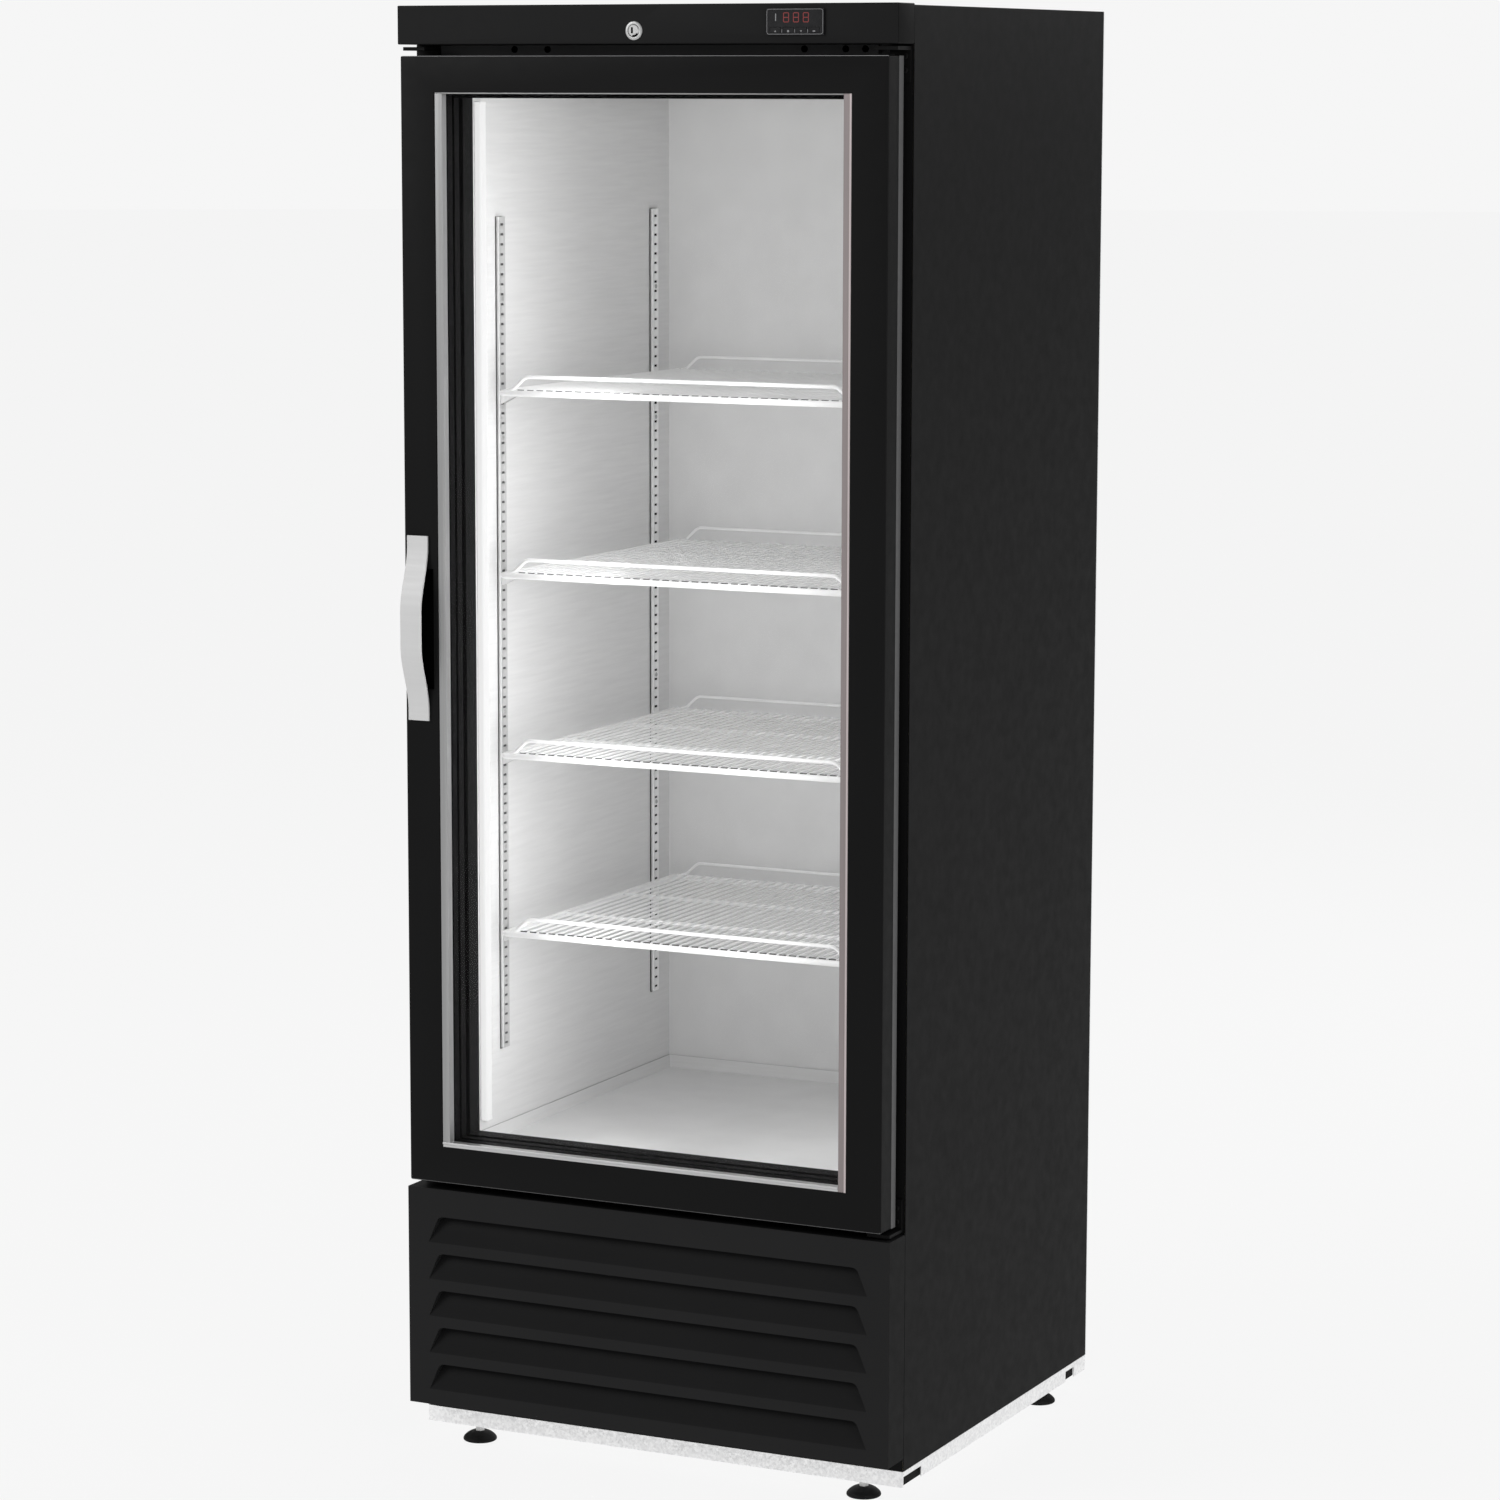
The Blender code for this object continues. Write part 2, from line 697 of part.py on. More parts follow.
def door_gasket():
    """The magnetic seal on the door's back, which meets the steel face of the body."""
    band = 0.016
    half = 0.306
    bottom = 0.387
    top = 1.786
    solid, void = frame_ring(
        DOOR_BACK + GAP,
        BODY_FRONT - 0.0004,
        (half, bottom, top),
        (half - band, bottom + band, top - band),
    )
    return blocks("door_gasket", "rubber", [solid], [void])


def handle_pocket():
    """The finger cup set into the door behind the handle."""
    wall = 0.0015
    outside = box(
        (POCKET_LEFT + GAP, DOOR_FRONT + 0.0003, POCKET_BOTTOM + GAP),
        (POCKET_RIGHT - GAP, POCKET_BACK, POCKET_TOP - GAP),
    )
    inside = box(
        (outside[0][0] + wall, DOOR_FRONT - PAST, outside[0][2] + wall),
        (outside[1][0] - wall, outside[1][1] - wall, outside[1][2] - wall),
    )
    return blocks("handle_pocket", "black_plastic", [outside], [inside])


def door_handle():
    """The strap handle: flat ends on the door and a smooth forward arch between them."""
    flat = 0.012
    thickness = 0.003
    reach = 0.0192
    steps = 26
    front = DOOR_FRONT - GAP - thickness
    arch = HANDLE_TOP - HANDLE_BOTTOM - 2 * flat
    outer = [(front, HANDLE_BOTTOM)]
    for index in range(steps + 1):
        ramp = min(1, min(index, steps - index) / (0.4 * steps))
        lift = reach * (1 - cos(pi * ramp)) / 2
        outer.append((front - lift, HANDLE_BOTTOM + flat + arch * index / steps))
    outer.append((front, HANDLE_TOP))
    inner = [(y + thickness, z) for y, z in reversed(outer)]
    made = prism("door_handle", "satin_steel", outer + inner, HANDLE_LEFT, HANDLE_RIGHT)
    shade_round(made)
    return made


# ---- Hinges ----
def hinge_plate(name, side, bottom, pin=None):
    """A pivot bracket: a level tongue over or under the door, a flange and its riveted pin."""
    top = bottom + PLATE
    inner = HINGE_X - 0.0115
    outer = HINGE_X + 0.0195
    back = BODY_FRONT - GAP
    flange = 0.038
    low = bottom if name == "bottom" else bottom - flange
    high = top + flange if name == "bottom" else top
    tongue = mirrored_box(side, (inner, HINGE_Y - 0.0085, bottom), (outer, back, top))
    upright = mirrored_box(side, (inner, back - 0.003, low), (outer, back, high))
    made = blocks(f"hinge_plate_{name}", "black_paint", [tongue, upright])
    if pin:
        tool = turned(f"hinge_pin_{name}", "zinc_steel", pin, (HINGE_X, HINGE_Y, 0))
        combine(made, tool, "UNION")
    return made


def hinges():
    """Pivot brackets with their pins, and the plastic bushes in the door that turn on them."""
    top_plate = 1.8085
    bottom_plate = 0.3542
    head = top_plate + PLATE + GAP
    top_pin = [
        (0, DOOR_TOP - 0.012),
        (PIN_RADIUS, DOOR_TOP - 0.012),
        (PIN_RADIUS, head),
        (0.0070, head),
        (0.0070, head + 0.0022),
        (0, head + 0.0022),
    ]
    bottom_pin = [
        (0, bottom_plate + 0.0010),
        (PIN_RADIUS, bottom_plate + 0.0010),
        (PIN_RADIUS, DOOR_BOTTOM + 0.012),
        (0, DOOR_BOTTOM + 0.012),
    ]
    hinge_plate("top", 1, top_plate, top_pin)
    hinge_plate("bottom", 1, bottom_plate, bottom_pin)
    hinge_plate("spare", -1, top_plate)
    centre = (HINGE_X, HINGE_Y, 0)
    bore = PIN_RADIUS + RUNNING_GAP
    for name, face, outward in (("top", DOOR_TOP, 1), ("bottom", DOOR_BOTTOM, -1)):
        inner_end = face - outward * 0.0155
        collar = face + outward * GAP
        outer_end = face + outward * 0.0020
        profile = [
            (bore, inner_end),
            (BUSH_RADIUS, inner_end),
            (BUSH_RADIUS, collar),
            (BUSH_RADIUS + 0.003, collar),
            (BUSH_RADIUS + 0.003, outer_end),
            (bore, outer_end),
        ]
        turned(f"hinge_bush_{name}", "black_plastic", profile, centre, hollow=True)


# ---- Lower front grille ----
def grille_panel():
    """The louvred front cover of the machine compartment, with returned edges."""
    shell = box((-HALF_WIDTH, FRONT, GRILLE_BOTTOM), (HALF_WIDTH, BODY_FRONT - 0.0005, GRILLE_TOP))
    hollow = box(
        (-HALF_WIDTH + SHEET, FRONT + SHEET, GRILLE_BOTTOM + SHEET),
        (HALF_WIDTH - SHEET, BODY_FRONT + PAST, GRILLE_TOP - SHEET),
    )
    tops = [LOUVRE_TOP - LOUVRE_PITCH * index for index in range(LOUVRE_COUNT)]
    voids = [hollow]
    for top in tops:
        low = (-LOUVRE_HALF, FRONT - PAST, top - LOUVRE_HEIGHT)
        voids.append(box(low, (LOUVRE_HALF, FRONT + 0.003, top)))
    made = blocks("grille_panel", "black_paint", [shell], voids)
    front = FRONT + 0.0002
    for index, top in enumerate(tops):
        foot = top - LOUVRE_HEIGHT - 0.003
        head = top - 0.0015
        fin = [
            (front, foot),
            (front + LOUVRE_DEPTH, head),
            (front + LOUVRE_DEPTH + SHEET, head),
            (front + SHEET, foot),
        ]
        louvre = prism(f"louvre_{index + 1}", "black_paint", fin, -LOUVRE_HALF, LOUVRE_HALF)
        combine(made, louvre, "UNION")
    return made


# ---- Inside the food compartment ----
def pilaster(row, name, side):
    """A slotted shelf upright with the clips of its four shelves."""
    middle = PILASTER_ROWS[row]
    wall = CAVITY_HALF - GAP - LINER - GAP
    low = (wall - 0.005, middle - 0.008, PILASTER_BOTTOM)
    solids = [mirrored_box(side, low, (wall, middle + 0.008, PILASTER_TOP))]
    for level in SHELF_LEVELS:
        low = (wall - 0.024, middle - 0.006, level - 0.020)
        high = (wall, middle + 0.006, level - 0.0083)
        solids.append(mirrored_box(side, low, high))
    return blocks(f"pilaster_{row}_{name}", "zinc_steel", solids)


def shelf(number, level):
    """A wire shelf: a lattice of rods with a low raised rail along its front and back."""
    half = SHELF_HALF
    gaps = 12
    rod = 0.002
    bar = 0.004
    solids = []
    for index in range(gaps + 1):
        x = -half + 2 * rod + (2 * half - 4 * rod) * index / gaps
        solids.append(box((x - rod, SHELF_FRONT, level - 2 * rod), (x + rod, SHELF_BACK, level)))
    for y in (SHELF_FRONT + bar, (SHELF_FRONT + SHELF_BACK) / 2, SHELF_BACK - bar):
        solids.append(box((-half, y - bar, level - 2 * bar), (half, y + bar, level - 0.001)))
    rail = half - 0.038
    for y in (SHELF_FRONT + 0.003, SHELF_BACK - 0.003):
        solids.append(box((-rail, y - 0.003, level - rod), (rail, y + 0.003, level + 0.020)))
    return blocks(f"shelf_{number}", "white_wire", solids)


def light_bar(name, side):
    """The LED strip that stands in the front corner of the food compartment."""
    wall = CAVITY_HALF - GAP - LINER - GAP
    low = (wall - 0.010, LIP_BACK + 0.0025, 0.430)
    high = (wall, LIP_BACK + 0.0175, 1.745)
    return blocks(f"light_bar_{name}", "white_plastic", [mirrored_box(side, low, high)])


def evaporator():
    """The flat cooling unit under the ceiling: cover, finned coil, fan and motor."""
    half = 0.235
    front = -0.150
    back = 0.290
    bottom = EVAPORATOR_BOTTOM
    ceiling = CAVITY_CEILING - GAP - LINER - GAP
    wall = 0.0015
    shell = box((-half, front, bottom), (half, back, ceiling))
    hollow = box(
        (-half + wall, front + wall, bottom + wall),
        (half - wall, back - wall, ceiling + PAST),
    )
    outlet = box(
        (-half + 0.03, back - PAST, bottom + 0.012),
        (half - 0.03, back + PAST, ceiling - 0.0095),
    )
    cover = blocks("evaporator_cover", "white_plastic", [shell], [hollow, outlet])
    drill(cover, (0, EVAPORATOR_FAN_Y, bottom), 0.078, 2 * PAST)
    coil_front = 0.075
    coil_back = 0.255
    coil = box((-0.205, coil_front, bottom + 0.0100), (0.205, coil_back, ceiling - 0.004))
    grooves = []
    for index in range(8):
        x = -0.18 + 0.05 * index
        low = (x, coil_front - PAST, bottom + 0.0150)
        grooves.append(box(low, (x + 0.010, coil_back + PAST, ceiling)))
    blocks("evaporator_coil", "anodised_aluminium", [coil], grooves)
    motor_bottom = bottom + 0.0315
    shaft_end = motor_bottom - 0.0130
    motor = [
        (0, shaft_end),
        (SHAFT_RADIUS, shaft_end),
        (SHAFT_RADIUS, motor_bottom),
        (0.021, motor_bottom),
        (0.021, ceiling - GAP),
        (0, ceiling - GAP),
    ]
    turned("evaporator_fan_motor", "grey_plastic", motor, (0, EVAPORATOR_FAN_Y, 0))
    centre = (0, EVAPORATOR_FAN_Y, bottom + 0.0185)
    made = fan_hub("evaporator_fan", "black_plastic", 0.022, -0.009, 0.0125, -0.002, centre)
    blades = fan_blades(
        "evaporator_fan_blades",
        "black_plastic",
        count=5,
        hub=0.018,
        tip=0.070,
        chord=0.034,
        thickness=0.0015,
        pitch=radians(24),
    )
    blades.location = centre
    combine(made, blades, "UNION")


# ---- Machine compartment ----
def compressor():
    """The hermetic compressor: a domed steel can on a mounting plate."""
    x, y = COMPRESSOR
    can = [
        (0, 0.0500),
        (0.070, 0.0500),
        (0.084, 0.0620),
        (0.086, 0.0760),
        (0.086, 0.1500),
        (0.088, 0.1530),
        (0.088, 0.1600),
        (0.084, 0.1630),
        (0.082, 0.2000),
        (0.070, 0.2240),
        (0.040, 0.2380),
        (0, 0.2420),
    ]
    made = turned("compressor", "black_paint", can, (x, y, 0), segments=28)
    plate = box((x - 0.105, y - 0.065, PAN_TOP + GAP), (x + 0.105, y + 0.065, 0.0560))
    combine(made, blocks("compressor_plate", "black_paint", [plate]), "UNION")
    terminals = box((x + 0.074, y - 0.030, 0.1000), (x + 0.105, y + 0.030, 0.1500))
    combine(made, blocks("compressor_terminals", "black_paint", [terminals]), "UNION")


def condenser():
    """The finned condenser behind the front grille, with its fan, shroud and motor."""
    half = CONDENSER_HALF
    bottom = PAN_TOP + GAP
    top = CONDENSER_TOP
    front = -0.235
    back = -0.190
    block = box((-half, front, bottom), (half, back, top))
    grooves = []
    for index in range(8):
        height = 0.0700 + 0.028 * index
        low = (-half + 0.020, front - PAST, height)
        grooves.append(box(low, (half - 0.020, front + 0.002, height + 0.012)))
    blocks("condenser_coil", "anodised_aluminium", [block], grooves)

    wall_front = back + GAP
    rear = back + 0.040
    shroud = [
        box((-half, wall_front, bottom), (half, wall_front + SHEET, top)),
        box((-half, wall_front, bottom), (-half + SHEET, rear, top)),
        box((half - SHEET, wall_front, bottom), (half, rear, top)),
    ]
    made = blocks("fan_shroud", "galvanised_steel", shroud)
    drill(made, (0, back, CONDENSER_FAN_Z), 0.104, 2 * PAST, "Y")

    centre = (0, back + 0.022, CONDENSER_FAN_Z)
    fan = fan_hub("condenser_fan", "grey_plastic", 0.025, -0.012, 0.012, -0.007, centre, "Y")
    blades = fan_blades(
        "condenser_fan_blades",
        "grey_plastic",
        count=5,
        hub=0.020,
        tip=0.096,
        chord=0.044,
        thickness=0.0015,
        pitch=radians(26),
    )
    blades.location = centre
    blades.rotation_euler = (-pi / 2, 0, 0)
    combine(fan, blades, "UNION")

    motor_profile = [
        (0, -0.1735),
        (SHAFT_RADIUS, -0.1735),
        (SHAFT_RADIUS, -0.1555),
        (0.020, -0.1555),
        (0.034, -0.1450),
        (0.034, -0.0900),
        (0, -0.0880),
    ]
    place = (0, 0, CONDENSER_FAN_Z)
    motor = turned("condenser_fan_motor", "black_paint", motor_profile, place, "Y")
    post_front = -0.1380
    post_back = -0.0980
    post = box((-0.012, post_front, bottom), (0.012, post_back, 0.1600))
    foot = box((-0.040, post_front, bottom), (0.040, post_back, bottom + 0.0027))
    combine(motor, blocks("condenser_motor_post", "black_paint", [post, foot]), "UNION")


def service_parts():
    """The evaporation pan and the gland that the power lead comes out of."""
    floor = PAN_TOP + GAP
    wall = 0.002
    left, right, front, back = 0.060, 0.310, 0.050, 0.300
    rim = 0.0850
    pan = box((left, front, floor), (right, back, rim))
    hollow = box((left + wall, front + wall, floor + wall), (right - wall, back - wall, rim + PAST))
    blocks("evaporation_pan", "grey_plastic", [pan], [hollow])
    bore = 0.0045
    outside = 0.0100
    gland = [
        (bore, BACK - 0.0160),
        (outside, BACK - 0.0160),
        (outside, BACK - 0.0002),
        (0.0062, BACK - 0.0002),
        (bore, BACK - 0.0010),
    ]
    centre = (LEAD[0], 0, LEAD[1])
    turned("cord_gland", "black_plastic", gland, centre, "Y", hollow=True)


# ---- Feet ----
def leveling_foot(name, place):
    """A threaded stem on a domed pad, screwed into the base pan's nut."""
    profile = [
        (0, 0),
        (0.0205, 0),
        (0.0222, 0.0018),
        (0.0219, 0.0042),
        (0.0175, 0.0090),
        (0.0110, 0.0122),
        (0.0065, 0.0130),
        (0.0065, 0.0215),
        (0.0050, 0.0217),
        (0.0050, PAN_TOP - 0.0020),
        (0, PAN_TOP - 0.0020),
    ]
    return turned(f"leveling_foot_{name}", "rubber", profile, (*place, 0))


def main():
    for old in list(bpy.data.objects):
        bpy.data.objects.remove(old)
    base_pan()
    for name, side in SIDES.items():
        side_panel(name, side)
        light_bar(name, side)
        for row in PILASTER_ROWS:
            pilaster(row, name, side)
    top_panel()
    back_panel()
    rear_grille()
    front_frame()
    insulation_foam()
    inner_liner()
    floor_tray()
    breaker_strip()
    header_panel()
    lock()
    controller()
    door_frame()
    door_inner_frame()
    window_trim()
    glass_unit()
    door_gasket()
    handle_pocket()
    door_handle()
    hinges()
    grille_panel()
    for number, level in enumerate(SHELF_LEVELS, start=1):
        shelf(number, level)
    evaporator()
    compressor()
    condenser()
    service_parts()
    for name, place in FEET.items():
        leveling_foot(name, place)


main()
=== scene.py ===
"""The looks of the glass-door reach-in refrigerator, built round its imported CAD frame.

Everything is in metres, in the frame of the CAD: the front faces -Y, +X is to the right of a
person facing it, and +Z is up from the floor.
"""

import json
from math import cos, pi, radians, sin

import bmesh
import bpy
from mathutils import Matrix, Vector

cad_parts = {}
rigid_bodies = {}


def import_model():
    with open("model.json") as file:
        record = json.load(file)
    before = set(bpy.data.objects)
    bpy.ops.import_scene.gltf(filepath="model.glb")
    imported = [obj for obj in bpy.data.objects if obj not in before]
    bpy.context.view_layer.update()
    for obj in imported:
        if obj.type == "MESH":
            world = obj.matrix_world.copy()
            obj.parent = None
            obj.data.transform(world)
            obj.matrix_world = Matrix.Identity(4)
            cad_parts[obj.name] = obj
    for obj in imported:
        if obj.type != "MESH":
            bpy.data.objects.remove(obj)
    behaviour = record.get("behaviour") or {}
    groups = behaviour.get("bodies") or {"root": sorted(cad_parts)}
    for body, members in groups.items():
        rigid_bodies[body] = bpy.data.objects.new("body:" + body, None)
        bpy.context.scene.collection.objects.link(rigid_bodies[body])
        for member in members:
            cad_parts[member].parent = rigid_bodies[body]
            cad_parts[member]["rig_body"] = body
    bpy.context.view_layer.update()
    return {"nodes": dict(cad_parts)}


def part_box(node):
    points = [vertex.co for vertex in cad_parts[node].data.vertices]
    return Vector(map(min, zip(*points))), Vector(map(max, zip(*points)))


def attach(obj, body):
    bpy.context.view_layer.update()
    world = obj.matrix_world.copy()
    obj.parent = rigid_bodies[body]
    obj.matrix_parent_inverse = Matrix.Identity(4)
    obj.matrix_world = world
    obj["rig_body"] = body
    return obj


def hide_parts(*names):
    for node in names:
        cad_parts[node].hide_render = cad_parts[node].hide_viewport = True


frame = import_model()

NODES = frame["nodes"]
CABINET = "cabinet"
DOOR = "door"
SIDES = {"left": -1, "right": 1}

# Planes and sizes read from the CAD nodes
GRILLE_LOW, GRILLE_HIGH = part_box("grille_panel")
DOOR_LOW, DOOR_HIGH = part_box("door_frame")
TRIM_LOW, TRIM_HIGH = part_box("window_trim")
BODY_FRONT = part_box("side_panel_left")[0].y
BODY_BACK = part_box("back_panel")[1].y

# Screws of the two rear covers, as (x, z); the cord gland takes the place of one
SCREW_COLUMNS = (-0.330, -0.165, 0.0, 0.165, 0.330)
REAR_SCREWS = {
    "back_panel": [(x, z) for x in SCREW_COLUMNS for z in (0.365, 1.850)]
    + [(x, z) for x in (-0.330, 0.330) for z in (0.74, 1.11, 1.48)],
    "rear_grille": [(x, 0.340) for x in SCREW_COLUMNS]
    + [(x, 0.058) for x in SCREW_COLUMNS[1:]],
}

# The shelves' numbers, and how far a shelf's wires lie below the top of its raised rails
SHELVES = (1, 2, 3, 4)
RAIL_RISE = 0.020

# Brightness of the backdrop, of the room's light, and of the floor
BACKDROP = 0.921
ROOM = 0.30
FLOOR_GLOW = 0.89


# ---- Materials ----
def add_node(tree, kind, **settings):
    """A shader node with its properties (lower case) and input defaults (by socket name) set."""
    node = tree.nodes.new(f"ShaderNode{kind}")
    for key, value in settings.items():
        if hasattr(node, key):
            setattr(node, key, value)
        else:
            node.inputs[key].default_value = value
    return node


def noise_value(tree, scale, stretch=(1, 1, 1), detail=3.0, kind="TexNoise"):
    """A 0 to 1 pattern in the object's own coordinates; scale is in cycles per metre."""
    place = add_node(tree, "TexCoord")
    mapping = add_node(tree, "Mapping", Scale=stretch)
    texture = add_node(tree, kind, Scale=scale)
    tree.links.new(place.outputs["Object"], mapping.inputs["Vector"])
    tree.links.new(mapping.outputs["Vector"], texture.inputs["Vector"])
    if kind == "TexNoise":
        texture.inputs["Detail"].default_value = detail
        return texture.outputs["Fac"]
    grey = add_node(tree, "RGBToBW")
    tree.links.new(texture.outputs["Color"], grey.inputs["Color"])
    return grey.outputs["Val"]


def between(tree, source, low, high):
    """Maps the 0.25 to 0.75 range of a pattern onto low to high."""
    spread = add_node(tree, "MapRange")
    ends = {"From Min": 0.25, "From Max": 0.75, "To Min": low, "To Max": high}
    for socket, value in ends.items():
        spread.inputs[socket].default_value = value
    tree.links.new(source, spread.inputs["Value"])
    return spread.outputs["Result"]


def tint(tree, source, colour, change):
    """The colour, made darker and lighter by the share change as the pattern runs."""
    mix = add_node(tree, "Mix", data_type="RGBA")
    mix.inputs[6].default_value = (*[c * (1 - change) for c in colour], 1)
    mix.inputs[7].default_value = (*[min(1.0, c * (1 + change)) for c in colour], 1)
    factor = between(tree, source, 0.0, 1.0)
    tree.links.new(factor, mix.inputs[0])
    return mix.outputs[2]


def finish(name, colour, roughness, shade=None, gloss=None, relief=(), **sockets):
    """A Principled material with procedural patterns.

    shade is (pattern, share) on the colour, gloss is (pattern, share) on the roughness and
    relief lists (pattern, height in metres); a pattern is the arguments of noise_value.
    """
    made = bpy.data.materials.new(name)
    made.use_nodes = True
    tree = made.node_tree
    shader = tree.nodes["Principled BSDF"]
    shader.inputs["Base Color"].default_value = (*colour, 1)
    shader.inputs["Roughness"].default_value = roughness
    for socket, value in sockets.items():
        shader.inputs[socket.replace("_", " ")].default_value = value
    if shade:
        source = noise_value(tree, **shade[0])
        tree.links.new(tint(tree, source, colour, shade[1]), shader.inputs["Base Color"])
    if gloss:
        source = noise_value(tree, **gloss[0])
        low = roughness * (1 - gloss[1])
        high = min(1.0, roughness * (1 + gloss[1]))
        tree.links.new(between(tree, source, low, high), shader.inputs["Roughness"])
    above = None
    for pattern, height in relief:
        bump = add_node(tree, "Bump", Strength=1.0, Distance=height)
        tree.links.new(noise_value(tree, **pattern), bump.inputs["Height"])
        if above:
            tree.links.new(above, bump.inputs["Normal"])
        above = bump.outputs["Normal"]
    if above:
        tree.links.new(above, shader.inputs["Normal"])
    return made


def pattern(scale, stretch=(1, 1, 1), detail=3.0, kind="TexNoise"):
    return {"scale": scale, "stretch": stretch, "detail": detail, "kind": kind}


def coat(name, colour, roughness, shade, gloss=None, relief=None, **sockets):
    """A finish of even noises: shade and gloss are (scale, share), relief is (scale, height)."""
    return finish(
        name,
        colour,
        roughness,
        shade=(pattern(shade[0]), shade[1]),
        gloss=gloss and (pattern(gloss[0]), gloss[1]),
        relief=[(pattern(relief[0]), relief[1])] if relief else (),
        **sockets,
    )


def paint(name, level, roughness=0.45, specular=0.06):
    """Black powder paint: a fine orange-peel skin over almost flat sheet."""
    return finish(
        name,
        (level, level, level * 1.02),
        roughness,
        shade=(pattern(7.0), 0.05),
        gloss=(pattern(60.0), 0.10),
        relief=[(pattern(900.0, detail=2.0), 0.00001)],
        Specular_IOR_Level=specular,
    )


def brushed(name, level, roughness, stretch, metallic=1.0, warm=0.0):
    """Brushed metal whose grain runs along the axis with the smallest stretch."""
    return finish(
        name,
        (level * (1 + warm), level, level),
        roughness,
        shade=(pattern(220.0, stretch), 0.07),
        gloss=(pattern(260.0, stretch), 0.22),
        relief=[(pattern(420.0, stretch), 0.00002)],
        Metallic=metallic,
    )


def glass():
    """Clear glass that lets lamp light and soft light through without bending it."""
    made = bpy.data.materials.new("pane_glass")
    made.use_nodes = True
    tree = made.node_tree
    shader = tree.nodes["Principled BSDF"]
    sockets = {
        "Base Color": (1, 1, 1, 1), "Roughness": 0.0, "IOR": 1.08, "Transmission Weight": 1.0,
    }
    for socket, value in sockets.items():
        shader.inputs[socket].default_value = value
    clear = add_node(tree, "BsdfTransparent", Color=(0.98, 0.98, 0.98, 1))
    path = add_node(tree, "LightPath")
    either = add_node(tree, "Math", operation="MAXIMUM")
    mix = add_node(tree, "MixShader")
    for source, target in (
        (path.outputs["Is Shadow Ray"], either.inputs[0]),
        (path.outputs["Is Diffuse Ray"], either.inputs[1]),
        (either.outputs[0], mix.inputs[0]),
        (shader.outputs[0], mix.inputs[1]),
        (clear.outputs[0], mix.inputs[2]),
        (mix.outputs[0], tree.nodes["Material Output"].inputs["Surface"]),
    ):
        tree.links.new(source, target)
    return made


# Stretches that draw a metal's grain out along one axis, and the spangle of zinc sheet
ALONG_X = (0.02, 1, 1)
ALONG_Z = (1, 1, 0.02)
CELLS = pattern(190.0, kind="TexVoronoi")

